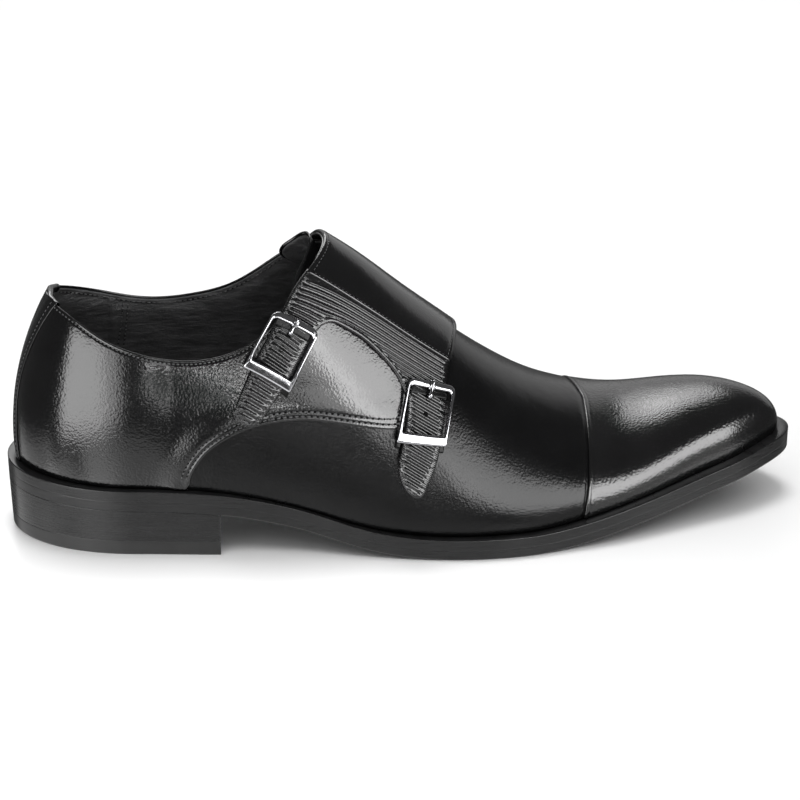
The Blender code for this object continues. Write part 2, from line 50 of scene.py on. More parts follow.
# Sizes that the shapes share with the solids
LENGTH = 308.0            # heel back to toe tip, over the welt
OUTSOLE = 4.0
WELT = 4.0
TOP_PIECE = 6.0
GAP = 0.3
BREAST = 80.5             # front face of the heel block
HEEL_TAPER = 0.4
HEEL_ROUND = 48.0
TOE_POWER = 2.6
TOE_ROUND = 30.0
FLAT_FROM = 176.0
FLAT_TO = 200.0
HEEL_FAN = 63.0
TOE_FAN = 262.0
COLLAR_BACK = 19.4
COLLAR_TAPER = 1.1
THROAT = 120.0
THROAT_END = 148.0
Q_HEEL, Q_TOE = 0.22, 0.80
BACK = {"low_bulge": 1.8, "rise": 22.0, "top_bulge": 10.4, "drop": -19.5}
TIP = {"bulge": 1.5, "rise": 14.5, "shoulder": 29.0}
FLAP_LIFT = 0.45
STRAP = 2.5
NO_EDGE = 99.0            # a distance beyond every edge
SEAT = OUTSOLE + WELT + 2 * GAP       # the upper stands this far above the outsole's underside


def smooth(xs, ys):
    """Natural cubic through the points (xs, ys), as a function of x."""
    xs = np.asarray(xs, float)
    ys = np.asarray(ys, float)
    count = len(xs)
    step = np.diff(xs)
    system = np.eye(count)
    bends = np.zeros(count)
    for i in range(1, count - 1):
        system[i, i - 1:i + 2] = step[i - 1], 2 * (step[i - 1] + step[i]), step[i]
        bends[i] = 6 * ((ys[i + 1] - ys[i]) / step[i] - (ys[i] - ys[i - 1]) / step[i - 1])
    bends = np.linalg.solve(system, bends)

    def value(x):
        i = np.clip(np.searchsorted(xs, x) - 1, 0, count - 2)
        a = (xs[i + 1] - x) / step[i]
        b = (x - xs[i]) / step[i]
        curve = (a ** 3 - a) * bends[i] + (b ** 3 - b) * bends[i + 1]
        return a * ys[i] + b * ys[i + 1] + curve * step[i] ** 2 / 6

    return value


def columns(names, rows):
    """Each named column of a table as a smooth function of its first column."""
    data = np.array(rows, float).T
    return {name: smooth(data[0], data[i]) for i, name in enumerate(names.split())}


# The sole outline before its heel and toe are rounded off: its middle line and half width
EDGE = columns("x middle half", (
    (0, 1.5, 31.8),
    (48, -1.5, 31.8),
    (80, -5.0, 32.2),
    (111, -7.6, 33.0),
    (142, -7.0, 39.6),
    (172, -2.2, 48.8),
    (200, 1.4, 51.5),
    (214, 2.4, 49.8),
    (228, 2.9, 47.1),
    (250, 3.4, 40.3),
    (271, 2.9, 31.5),
    (285, 1.5, 25.0),
    (297, -0.6, 19.0),
    (308, -3.0, 15.5),
))

# Underside of the outsole above the floor: under the waist, and ahead of the ball
SHANK = columns("x height", (
    (0, 20.8),
    (40, 19.2),
    (82, 17.4),
    (98, 14.5),
    (115, 10.0),
    (132, 4.5),
    (150, 1.2),
    (176, 0.0),
    (200, 0.0),
))
SPRING = columns("x height", (
    (186, 0.0),
    (200, 0.0),
    (215, 1.1),
    (231, 3.5),
    (251, 6.9),
    (271, 10.7),
    (291, 14.7),
    (308, 18.3),
))

# How far the welt shows beyond the upper
MARGIN = columns("x lateral medial", (
    (0, 3.6, 3.6),
    (60, 2.6, 2.4),
    (110, 1.6, 1.4),
    (150, 2.6, 2.6),
    (200, 3.8, 3.8),
    (308, 4.7, 4.7),
))

# Sections of the last across the shoe
LAST = columns(
    "x ridge_y ridge_z lat_bulge lat_rise lat_shoulder med_bulge med_rise med_shoulder", (
        (63, 0.0, 128.0, 3.0, 34.0, 21.0, 3.0, 34.0, 21.0),
        (90, 1.0, 125.5, 3.0, 36.0, 23.0, 4.0, 38.0, 22.0),
        (122, 2.0, 113.2, 3.0, 38.0, 26.0, 6.0, 42.0, 24.0),
        (150, 3.0, 90.8, 3.0, 29.0, 28.0, 5.0, 36.0, 26.0),
        (178, 4.5, 66.9, 3.0, 20.0, 30.0, 4.0, 27.0, 28.0),
        (200, 5.5, 50.6, 3.0, 16.5, 31.0, 3.0, 21.0, 29.0),
        (222, 5.5, 40.2, 3.0, 15.0, 29.0, 2.5, 17.0, 28.0),
        (245, 4.0, 36.2, 2.5, 14.5, 26.0, 2.5, 15.5, 26.0),
        (262, 3.0, 39.8, 2.5, 14.5, 23.5, 2.5, 14.5, 23.5),
        (275, 1.2, 41.5, 2.5, 14.0, 21.0, 2.5, 14.0, 21.0),
    ))

# Height of the topline round the collar and up to the throat
TOPLINE = columns("x lateral medial", (
    (19.4, 97.5, 97.5),
    (28, 94.0, 93.0),
    (39, 87.6, 88.0),
    (50, 83.2, 84.0),
    (63, 80.0, 82.2),
    (75, 79.7, 83.3),
    (88, 82.6, 86.6),
    (100, 89.0, 93.6),
    (112, 99.5, 102.6),
    (120, 107.0, 107.5),
))


def mix(a, b, share):
    return a * (1 - share) + b * share


def ease(value, low, high):
    """0 below low, 1 above high, and a smooth step between."""
    share = np.clip((value - low) / (high - low), 0, 1)
    return share * share * (3 - 2 * share)


def unit(vectors):
    return vectors / (np.linalg.norm(vectors, axis=-1, keepdims=True) + 1e-12)


def stack(*parts):
    """Columns of points from numbers and arrays."""
    return np.stack(np.broadcast_arrays(*parts), axis=-1).astype(float)


def half_width(x):
    """Half width of the sole at x, with the rounded heel and toe."""
    heel = np.clip((HEEL_ROUND - x) / HEEL_ROUND, 0, 1)
    toe = np.clip((x - LENGTH + TOE_ROUND) / TOE_ROUND, 0, 1)
    return EDGE["half"](x) * np.sqrt(1 - heel ** 2) * np.sqrt(1 - toe ** TOE_POWER)


def edge_y(x, side):
    return EDGE["middle"](x) + side * half_width(x)


def underside(x):
    """Height of the underside of the outsole at x."""
    x = np.asarray(x, float)
    height = np.where(x < FLAT_FROM, SHANK["height"](x), SPRING["height"](x))
    return np.where((x > FLAT_FROM) & (x < FLAT_TO), 0, np.maximum(0, height))


# A station q runs round the sole: 0 is the back of the heel, 1 (and -1) the toe tip, negative
# values are lateral and positive ones medial.
def wrapped(q):
    return (np.asarray(q, float) + 1) % 2 - 1


def station_x(q):
    """x along the sole edge at station q."""
    turn = np.abs(wrapped(q))
    heel = HEEL_FAN * (1 - np.cos(math.pi / 2 * turn / Q_HEEL))
    toe = TOE_FAN + (LENGTH - TOE_FAN) * np.sin(math.pi / 2 * (turn - Q_TOE) / (1 - Q_TOE))
    middle = HEEL_FAN + (TOE_FAN - HEEL_FAN) * (turn - Q_HEEL) / (Q_TOE - Q_HEEL)
    return np.where(turn < Q_HEEL, heel, np.where(turn > Q_TOE, toe, middle))


def station(x, side):
    """Station of a mid section of the shoe."""
    return side * (Q_HEEL + (x - HEEL_FAN) / (TOE_FAN - HEEL_FAN) * (Q_TOE - Q_HEEL))


def side_of(q):
    return np.where(wrapped(q) < 0, LATERAL, MEDIAL)


def sole_edge(q):
    x = station_x(q)
    return stack(x, edge_y(x, side_of(q)))


def outward(q):
    """Level unit vector square to the sole edge at station q, pointing out."""
    step = 1e-4
    along = sole_edge(q + step) - sole_edge(q - step)
    return unit(stack(-along[..., 1], along[..., 0]))


def margin(x, side):
    return np.where(side < 0, MARGIN["lateral"](x), MARGIN["medial"](x))


def shrunk_edge(q, inset):
    """The sole outline drawn in by about inset, which stays clear of itself at the toe."""
    x, y = np.moveaxis(sole_edge(q), -1, 0)
    middle = EDGE["middle"](x)
    return stack(inset + x * (LENGTH - 2 * inset) / LENGTH,
                 middle + (y - middle) * (1 - inset / EDGE["half"](x)))


def feather(q):
    """Foot of the upper's outer face at station q."""
    x = station_x(q)
    flat = sole_edge(q) - outward(q) * margin(x, side_of(q))[..., None]
    return stack(flat[..., 0], flat[..., 1], underside(flat[..., 0]) + SEAT)


def bezier(points, t):
    """Cubics of control points (..., 4, 3) at t."""
    t = np.asarray(t, float)[..., None]
    s = 1 - t
    return (points[..., 0, :] * s ** 3 + points[..., 1, :] * 3 * s * s * t
            + points[..., 2, :] * 3 * s * t * t + points[..., 3, :] * t ** 3)


def bezier_start(points, t):
    """Control points of the stretch of each cubic from 0 to t."""
    t = np.asarray(t, float)[..., None]
    a, b, c, d = np.moveaxis(points, -2, 0)
    ab = mix(a, b, t)
    bc = mix(b, c, t)
    cd = mix(c, d, t)
    abc = mix(ab, bc, t)
    return np.stack([a, ab, abc, mix(abc, mix(bc, cd, t), t)], axis=-2)


def last_section(x, side):
    """Control points of whole sections of the last at x, from the feather to the ridge."""
    x = np.asarray(x, float)
    prefix = "lat_" if side == LATERAL else "med_"
    slope = edge_y(x + 0.5, side) - edge_y(x - 0.5, side)
    inset = margin(x, side) * np.sqrt(1 + slope * slope)
    foot = stack(x, edge_y(x, side) - side * inset, underside(x) + SEAT)
    top = stack(x, LAST["ridge_y"](x), LAST["ridge_z"](x))
    lift = stack(0, side * LAST[prefix + "bulge"](x), LAST[prefix + "rise"](x))
    level = stack(0, side * LAST[prefix + "shoulder"](x), 0)
    return np.stack([foot, foot + lift, top + level, top], axis=-2)


def topline(x, side):
    return TOPLINE["lateral" if side == LATERAL else "medial"](x)


def height_at(points, z):
    """Parameters at which sections reach the heights z."""
    low, high = np.zeros(len(points)), np.ones(len(points))
    for _ in range(40):
        middle = (low + high) / 2
        under = bezier(points, middle)[..., 2] < z
        low, high = np.where(under, middle, low), np.where(under, high, middle)
    return low


def collar_cut(x, side):
    """Parameters where the upper ends on the sections at x: topline, then the throat's edge."""
    x = np.atleast_1d(np.asarray(x, float))
    at_topline = height_at(last_section(x, side), topline(np.minimum(x, THROAT), side))
    before, last = height_at(last_section([THROAT - 1, THROAT], side),
                             topline(np.array((THROAT - 1, THROAT)), side))
    reach = THROAT_END - THROAT
    share = np.clip((x - THROAT) / reach, 0, 1)
    cut = (last + (1 - last) * share ** 2 * (3 - 2 * share)
           + (last - before) * reach * share * (1 - share) ** 2)
    return np.where(x <= THROAT, at_topline, cut)


def fan(low, high, facing, share):
    """A handle that turns with the section: bulge along facing, and rise."""
    return (facing * mix(low[0], high[0], share)[..., None]
            + stack(0, 0, mix(low[1], high[1], share)))


def heel_section(turn, side):
    """Sections that turn round the back of the heel, from the back seam to the side."""
    side_points = last_section([HEEL_FAN], side)
    side_points = bezier_start(side_points, collar_cut(HEEL_FAN, side))[0]
    angle = math.pi / 2 * turn / Q_HEEL
    share = np.sin(angle) ** 2
    facing = stack(-np.cos(angle), side * np.sin(angle), 0)
    low = side_points[1] - side_points[0]
    high = side_points[2] - side_points[3]
    foot = feather(side * turn)
    x = HEEL_FAN - (HEEL_FAN - COLLAR_BACK) * np.cos(angle)
    top = stack(x, side_points[3][1] * np.sin(angle) ** COLLAR_TAPER, topline(x, side))
    low_handle = fan((BACK["low_bulge"], BACK["rise"]), (side * low[1], low[2]), facing, share)
    high_handle = fan((BACK["top_bulge"], BACK["drop"]), (side * high[1], high[2]),
                      facing, share)
    return np.stack([foot, foot + low_handle, top + high_handle, top], axis=-2)


def toe_section(turn, side):
    """Sections that turn round the toe, from the side to the toe tip."""
    prefix = "lat_" if side == LATERAL else "med_"
    angle = math.pi / 2 * (turn - Q_TOE) / (1 - Q_TOE)
    share = np.sin(angle) ** 2
    top = stack(TOE_FAN, LAST["ridge_y"](TOE_FAN), LAST["ridge_z"](TOE_FAN))
    climb = LAST["ridge_z"](TOE_FAN + 0.5) - LAST["ridge_z"](TOE_FAN - 0.5)
    drift = LAST["ridge_y"](TOE_FAN + 0.5) - LAST["ridge_y"](TOE_FAN - 0.5)
    foot = feather(side * turn)
    facing = stack(np.sin(angle), side * np.cos(angle), 0)
    side_shape = [LAST[prefix + name](TOE_FAN) for name in ("bulge", "rise", "shoulder")]
    low_handle = fan(side_shape[:2], (TIP["bulge"], TIP["rise"]), facing, share)
    reach = mix(side_shape[2], TIP["shoulder"], share)[..., None]
    ahead = np.sin(angle)
    away = stack(ahead, side * np.cos(angle) + drift * ahead, climb * ahead)
    top = np.broadcast_to(top, foot.shape)
    return np.stack([foot, foot + low_handle, top + away * reach, top], axis=-2)


def half_upper(side, turns):
    """Control points of the upper's outer face on one side, heel to toe."""
    heel = turns[turns < Q_HEEL]
    toe = turns[turns > Q_TOE]
    middle = turns[(turns >= Q_HEEL) & (turns <= Q_TOE)]
    x = station_x(middle)
    sides = bezier_start(last_section(x, side), collar_cut(x, side))
    return np.concatenate([heel_section(heel, side), sides, toe_section(toe, side)])


# Control points round the whole upper, one row a station from -1 to 1
HALF_STEPS = 800
EVENED = 12               # rounds of evening out from station to station
TURNS = np.linspace(0, 1, HALF_STEPS + 1)
UPPER = np.concatenate([half_upper(LATERAL, TURNS)[:0:-1], half_upper(MEDIAL, TURNS)[:-1]])
for _ in range(EVENED):
    UPPER = (np.roll(UPPER, 1, axis=0) + 2 * UPPER + np.roll(UPPER, -1, axis=0)) / 4


def spline_weights(f):
    """Catmull-Rom weights of the four points round a fraction f."""
    return (-f / 2 + f * f - f ** 3 / 2, 1 - 2.5 * f * f + 1.5 * f ** 3,
            f / 2 + 2 * f * f - 1.5 * f ** 3, (f ** 3 - f * f) / 2)


def upper_controls(q):
    place = (wrapped(q) + 1) * HALF_STEPS
    i = np.floor(place).astype(int)
    weights = spline_weights(place - i)
    count = len(UPPER)
    return sum(UPPER[(i + k - 1) % count] * w[..., None, None] for k, w in enumerate(weights))


def on_upper(q, t, lift=0.0):
    """Points of the upper at stations q and heights t (0 feather to 1 topline or ridge)."""
    q, t = np.broadcast_arrays(np.asarray(q, float), np.asarray(t, float))
    points = bezier(upper_controls(q), t)
    return points + upper_normal(q, t) * np.asarray(lift)[..., None]


def upper_normal(q, t):
    """Outward unit vectors of the upper."""
    low_t = np.where(np.abs(wrapped(q)) > Q_TOE, np.minimum(t, 0.97), t)
    step_q, step_t = 0.004, 0.01
    along = (bezier(upper_controls(q + step_q), low_t)
             - bezier(upper_controls(q - step_q), low_t))
    up = bezier(upper_controls(q), low_t + step_t) - bezier(upper_controls(q), low_t - step_t)
    return unit(np.cross(up, along))


# The last as leather is cut for it: a place is x along the shoe and g, girth from the ridge
# (medial +)
PATTERN_FROM, PATTERN_TO, GIRTH = 61, 265, 118


def pattern_table():
    xs = np.arange(PATTERN_FROM, PATTERN_TO + 1, dtype=float)
    girths = np.arange(0, GIRTH + 1, dtype=float)
    halves, shares = [], []
    steps = np.linspace(1, 0, 240)
    for side in (LATERAL, MEDIAL):
        sections = last_section(xs, side)
        lines = bezier(sections[:, None], np.broadcast_to(steps, (len(xs), len(steps))))
        places, params = [], []
        for line in lines:
            spacing = np.linalg.norm(np.diff(line, axis=0), axis=1)
            run = np.concatenate(([0], np.cumsum(spacing)))
            places.append(stack(*[np.interp(girths, run, line[:, i]) for i in range(3)]))
            beyond = np.maximum(0, girths - run[-1])[:, None]
            places[-1] += unit(line[-1] - line[-2]) * beyond
            params.append(np.interp(girths, run, steps))
        halves.append(np.array(places))
        shares.append(np.array(params))
    table = np.concatenate([halves[0][:, :0:-1], halves[1]], axis=1)
    along = np.gradient(table, axis=0)
    across = np.gradient(table, axis=1)
    return table, unit(np.cross(along, across)), shares


PATTERN, PATTERN_NORMAL, GIRTH_SHARE = pattern_table()


def table_at(table, rows, cols):
    """A table read smoothly at fractional rows and columns."""
    rows = np.clip(rows, 1, table.shape[0] - 2.001)
    cols = np.clip(cols, 1, table.shape[1] - 2.001)
    i, j = np.floor(rows).astype(int), np.floor(cols).astype(int)
    across = spline_weights(cols - j)
    total = 0
    for a, down in enumerate(spline_weights(rows - i)):
        row = np.clip(i + a - 1, 0, table.shape[0] - 1)
        for b, side in enumerate(across):
            col = np.clip(j + b - 1, 0, table.shape[1] - 1)
            total = total + table[row, col] * (down * side)[..., None]
    return total


def on_pattern(x, g, lift=0.0):
    """Points of the last at the places (x, g), lifted square off it."""
    rows, cols = np.asarray(x, float) - PATTERN_FROM, np.asarray(g, float) + GIRTH
    rows, cols = np.broadcast_arrays(rows, cols)
    normal = unit(table_at(PATTERN_NORMAL, rows, cols))
    return table_at(PATTERN, rows, cols) + normal * np.asarray(lift)[..., None]


def to_upper(x, g):
    """Station and height on the upper of the pattern places (x, g) of one side."""
    side = LATERAL if np.mean(g) < 0 else MEDIAL
    share = GIRTH_SHARE[0 if side == LATERAL else 1]
    rows = np.clip(np.asarray(x, float) - PATTERN_FROM, 0, len(share) - 1.001)
    cols = np.clip(np.abs(g), 0, GIRTH - 0.001)
    i, j = rows.astype(int), cols.astype(int)
    f, h = rows - i, cols - j
    t = mix(mix(share[i, j], share[i, j + 1], h), mix(share[i + 1, j], share[i + 1, j + 1], h), f)
    return station(x, side), np.clip(t / collar_cut(x, side), 0, 1)


# Meshes
CENTRE_Y = float(np.mean([f(sole_edge(TURNS * s)[:, 1]) for s, f in ((1, np.max), (-1, np.min))]))
CENTRE = np.array((LENGTH / 2, CENTRE_Y, 0))


def add_piece(name, points, faces, finish, replaced=()):
    """A closed piece in place on the frame, from points in millimetres."""
    mesh = bpy.data.meshes.new(name)
    mesh.from_pydata(((np.asarray(points) - CENTRE) * MM).tolist(), [], faces)
    work = bmesh.new()
    work.from_mesh(mesh)
    bmesh.ops.remove_doubles(work, verts=work.verts, dist=2e-7)
    bmesh.ops.dissolve_degenerate(work, dist=1e-7, edges=work.edges)
    bmesh.ops.recalc_face_normals(work, faces=work.faces)
    work.to_mesh(mesh)
    work.free()
    mesh.shade_smooth()
    mesh.materials.append(finish)
    piece = bpy.data.objects.new(name, mesh)
    bpy.context.scene.collection.objects.link(piece)
    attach(piece, "root")
    if replaced:
        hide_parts(*replaced)
    return piece


def grid_faces(rows, count, closed=False):
    """Quads between rows of count points each, closed round each row or not."""
    span = count if closed else count - 1
    return [(r * count + i, r * count + (i + 1) % count,
             (r + 1) * count + (i + 1) % count, (r + 1) * count + i)
            for r in range(rows - 1) for i in range(span)]


def welded(outer, inner, faces):
    """The two faces of a piece with coincident points joined."""
    keys = np.round(outer, 4)
    _, first, where = np.unique(keys, axis=0, return_index=True, return_inverse=True)
    where = where.ravel()
    joined = []
    for face in faces:
        ring = [int(where[i]) for i in face]
        ring = [v for k, v in enumerate(ring) if v != ring[k - 1]]
        if len(set(ring)) == len(ring) and len(ring) > 2:
            joined.append(tuple(ring))
    return outer[first], inner[first], joined


def shell(name, outer, inner, faces, finish, replaced=()):
    """A closed piece of leather from its outer and inner faces, its rim filled in."""
    outer, inner, faces = welded(outer.reshape(-1, 3), inner.reshape(-1, 3), faces)
    count = len(outer)
    rim = set()
    for face in faces:
        for a, b in zip(face, face[1:] + face[:1]):
            if (b, a) in rim:
                rim.remove((b, a))
            else:
                rim.add((a, b))
    solid = faces + [tuple(count + i for i in reversed(face)) for face in faces]
    solid += [(b, a, count + a, count + b) for a, b in sorted(rim)]
    return add_piece(name, np.concatenate([outer, inner]), solid, finish, replaced)


def rolled(distance, radius):
    """How far a rounded edge has dropped at this distance from it."""
    share = 1 - np.clip(distance / radius, 0, 1)
    return radius * (1 - np.sqrt(1 - share * share))


def groove(distance, at, depth, width=0.45):
    """A shallow channel that runs at a distance from an edge."""
    return depth * np.exp(-((distance - at) / width) ** 2)


FINE = np.array((0, 0.06, 0.16, 0.32, 0.55, 0.85, 1.2, 1.5, 1.8, 2.1, 2.45, 2.9, 3.4, 3.75, 4.05,
                 4.35, 4.7, 5.3, 6.2, 7.3))
EVEN = np.array((0, 0.6, 1.4, 2.5))


def graded(length, spacing, low=FINE):
    """Distances across pieces of these lengths, close together at the edges."""
    length = np.atleast_1d(length)
    count = int(np.max(length) / spacing)
    inner = np.linspace(0, 1, count)[1:-1, None]
    start, end = low[-1], length - FINE[-1]
    middle = start + (end - start) * inner
    ones = np.ones(len(length))
    return np.concatenate([low[:, None] * ones, middle, length - FINE[::-1, None]])


def unevenness(points, size=26.0, depth=0.09):
    """Slow hand-made waviness of stretched leather."""
    x, y, z = np.moveaxis(points, -1, 0) / size
    return depth * (np.sin(2.1 * x + 1.3 * z + 0.4) * np.cos(1.7 * z - 0.8 * y)
                    + 0.6 * np.sin(3.7 * x - 2.2 * z + 1.9 * y + 2.0))


# Stitches and the awl's holes between them, the holes as dark discs of painted shade: rings of
# points, as share of half the stitch or height over the leather in mm, width and rise in thread
# radii
STITCH_ROUND, HOLE_ROUND = 5, 6
STITCH_RINGS = ((-1, 0.35, -0.9), (-0.5, 1, 0.25), (0.5, 1, 0.25), (1, 0.35, -0.9))
HOLE_RINGS = ((-0.3, 1.2), (0.09, 1.2), (0.09, 0.4))
threads = {"upper_thread": [], "strap_thread": [], "lining_thread": []}
holes = []


def round_angles(count):
    return [2 * math.pi * k / count for k in range(count)]


def resampled(points, normals, pitch):
    """Places a pitch apart along a line, with their normals and directions."""
    run = np.concatenate(([0], np.cumsum(np.linalg.norm(np.diff(points, axis=0), axis=1))))
    count = max(1, int(run[-1] / pitch))
    at = (np.arange(count) + 0.5) * run[-1] / count

    def read(values, where):
        return stack(*[np.interp(where, run, values[:, i]) for i in range(3)])

    along = unit(read(points, at + 0.2) - read(points, at - 0.2))
    return read(points, at), unit(read(normals, at)), along


def sew(kind, points, normals, pitch, length, radius):
    """A row of stitches along points on the leather, with a dark disc of painted shade at each
    awl's hole.
    """
    centres, ups, along = resampled(points, normals, pitch)
    across = unit(np.cross(along, ups))
    for centre, up, ahead, side in zip(centres, ups, along, across):
        for height, width in HOLE_RINGS:
            middle = centre + ahead * pitch / 2 + up * height
            for angle in round_angles(HOLE_ROUND):
                holes.append(middle + (side * math.cos(angle) * 1.15 + ahead * math.sin(angle))
                             * width * radius)
        for share, width, rise in STITCH_RINGS:
            middle = centre + ahead * share * length / 2 + up * rise * radius
            for angle in round_angles(STITCH_ROUND):
                threads[kind].append(middle + (side * math.cos(angle) + up * math.sin(angle))
                                     * width * radius)


def sew_upper(kind, q, t, lift, pitch, length, radius, facing=1):
    """A row of stitches along places on the upper, outside it (facing 1) or inside (-1)."""
    sew(kind, on_upper(q, t, lift), facing * upper_normal(q, t), pitch, length, radius)


def tube_faces(count, rings, around):
    """Faces of count points that lie in closed tubes, each of some rings of points."""
    faces = []
    block = rings * around
    for start in range(0, count, block):
        faces += [tuple(start + i for i in face) for face in grid_faces(rings, around, True)]
        faces.append(tuple(start + i for i in range(around)))
        faces.append(tuple(start + block - 1 - i for i in range(around)))
    return faces


def lay_threads(finish):
    for kind, slot in (("upper_thread", "black_calf"), ("strap_thread", "ribbed_calf"),
                       ("lining_thread", "lining")):
        points = threads[kind]
        add_piece(kind, points, tube_faces(len(points), 4, STITCH_ROUND), finish)


def paint_hole_shade(finish):
    """Painted shade of the awl's holes between the stitches: dark discs."""
    add_piece("stitch_hole_shade", holes, tube_faces(len(holes), 3, HOLE_ROUND), finish)


# Front edge of the quarters as cut: x, and girth from the ridge
QUARTER_SEAM = ((69.3, 109.5), (70.0, 106.0), (71.9, 101.9), (75.1, 97.2), (80.5, 92.2),
                (85.8, 88.7), (91.5, 85.5), (98.3, 82.6), (105, 80.1), (112.1, 77.6),
                (127.0, 72.4), (137, 67.8), (146.2, 62.5), (152.5, 57.0), (156.5, 49.5),
                (157.5, 41.0), (156.0, 33.0), (152.0, 26.0))
SEAM_FOOT, SEAM_BACK = 69.3, 0.003   # x of the seam at the welt, station of the back seam
COLLAR_FROM, COLLAR_TO = 68.0, 139.5     # x at which the seam's lines reach the topline
QUARTER_LIFT, QUARTER_THICK, RIM_THICK = 0.3, 1.15, 0.7
SEAM_LIFT = 0.5           # the quarter rises by this much over the vamp
VAMP_DOWN = -0.4


def path_through(rows, spacing):
    """Points about spacing apart on a smooth curve through the rows."""
    rows = np.array(rows, float)
    run = np.concatenate(([0], np.cumsum(np.linalg.norm(np.diff(rows, axis=0), axis=1))))
    count = max(2, round(run[-1] / spacing))
    at = np.linspace(0, run[-1], count + 1)
    return stack(*[smooth(run, rows[:, axis])(at) for axis in range(rows.shape[1])])


def quarter_lines(side):
    """Where each line of a quarter's leather starts below and ends at the topline: (q, t)."""
    foot = float(station(SEAM_FOOT, 1))
    turns = np.linspace(SEAM_BACK, foot, 52)[:-1]
    seam = path_through(QUARTER_SEAM, 1.0)
    q_seam, t_seam = to_upper(seam[:, 0], side * seam[:, 1])
    share = ease(np.linspace(0, 1, len(seam)), -0.25, 1.12)
    share = (share - share[0]) / (share[-1] - share[0])
    low_q = np.concatenate([side * turns, q_seam])
    low_t = np.concatenate([np.zeros(len(turns)), t_seam])
    spread = turns * float(station(COLLAR_FROM, 1)) / foot
    high_q = np.concatenate([side * spread, station(mix(COLLAR_FROM, COLLAR_TO, share), side)])
    seamed = np.arange(len(low_q)) >= len(turns)
    return low_q, low_t, high_q, seamed


def quarter_length(lines):
    low_q, low_t, high_q, _ = lines
    ends = [on_upper(mix(low_q, high_q, s), mix(low_t, 1.0, s)) for s in np.linspace(0, 1, 9)]
    return np.sum([np.linalg.norm(b - a, axis=-1) for a, b in zip(ends, ends[1:])], axis=0)


def quarter_place(lines, rows):
    """Stations and heights at distances rows up the lines of a quarter."""
    low_q, low_t, high_q, _ = lines
    share = rows / quarter_length(lines)
    return mix(low_q, high_q, share), mix(low_t, 1.0, share)


def from_line(points, line):
    """Distance of each point from a line of points."""
    flat = points.reshape(-1, points.shape[-1])
    best = np.full(len(flat), 1e9)
    for a, b in zip(line, line[1:]):
        d = b - a
        share = np.clip((flat - a) @ d / max(d @ d, 1e-12), 0, 1)
        best = np.minimum(best, np.linalg.norm(flat - a - share[:, None] * d, axis=1))
    return best.reshape(points.shape[:-1])


def squared(ahead):
    """Flat unit vectors to the left of the directions ahead."""
    along = unit(ahead)
    return stack(-along[:, 1], along[:, 0])


def seam_points(side, inset=0.0):
    """The quarter's front edge on the last, or a line at a distance inside it: (q, t)."""
    seam = path_through(QUARTER_SEAM, 1.0)
    line = seam - squared(np.gradient(seam, axis=0)) * inset
    return to_upper(line[:, 0], side * line[:, 1])


SEAM_ROWS = (1.6, 3.35)
TOP_ROW = 1.4             # stitches below the topline


def quarter_lift(from_seam, from_top):
    lift = QUARTER_LIFT + SEAM_LIFT * (1 - ease(from_seam, 4.5, 14.0))
    for row in SEAM_ROWS:
        lift = lift - groove(from_seam, row, 0.17, 0.4)
    return lift - groove(from_top, TOP_ROW, 0.16, 0.4)


def build_quarter(side, name, finish):
    """A quarter with its two rows of seam stitches and one along the topline."""
    lines = quarter_lines(side)
    length = quarter_length(lines)
    rows = graded(length, 1.3)
    q, t = quarter_place(lines, rows)
    base = on_upper(q, t)
    line = on_upper(*seam_points(side))
    from_seam = from_line(base, line)
    from_top = length - rows
    lift = quarter_lift(from_seam, from_top) + unevenness(base)
    edge = np.minimum(np.where(lines[3], from_seam, rows), from_top)
    thick = mix(RIM_THICK, QUARTER_THICK, ease(from_top, 1.0, 7.0))
    drop = rolled(edge, thick / 2)
    outer = on_upper(q, t, lift - drop)
    inner = on_upper(q, t, lift - thick + drop)
    shell(name, outer, inner, grid_faces(*q.shape), finish)
    sew_quarter(lines, length, side)


def sew_quarter(lines, length, side):
    for row in SEAM_ROWS:
        q, t = seam_points(side, row)
        lift = QUARTER_LIFT + SEAM_LIFT - 0.1 + unevenness(on_upper(q, t))
        for part, pitch, long, radius in ((slice(2, 44), 1.9, 1.3, 0.24),
                                          (slice(44, 112), 2.2, 1.5, 0.38)):
            sew_upper("upper_thread", q[part], t[part], lift[part], pitch, long, radius)
    q, t = quarter_place(lines, length - TOP_ROW)
    lift = QUARTER_LIFT - 0.1 + unevenness(on_upper(q, t))
    part = slice(6, 150)
    sew_upper("upper_thread", q[part], t[part], lift[part], 1.65, 1.1, 0.27)


# Vamp
VAMP_THICK = 0.7
VAMP_FROM, VAMP_TO = 62, 236         # x of its edges under the quarters and under the cap
VAMP_FINE = 216                      # its mesh is finer ahead of this x
VAMP_UNDER, VAMP_CORNER = 0.13, 0.12     # reach up under the quarters, height at its rear corner
VAMP_CLOSED = 143, 150               # x over which its edge rises to the ridge
CAP_EDGE_TOP, CAP_EDGE_FOOT = 226.3, 219.5      # x of the toe cap's edge on the ridge, at the welt
CAP_OUT, CAP_THICK = 0.5, 1.2
CAP_ROWS = 56
POLE_Y = 3.0              # the sections round the toe meet here, at x TOE_FAN


def cap_edge(t):
    return mix(CAP_EDGE_FOOT, CAP_EDGE_TOP, t)


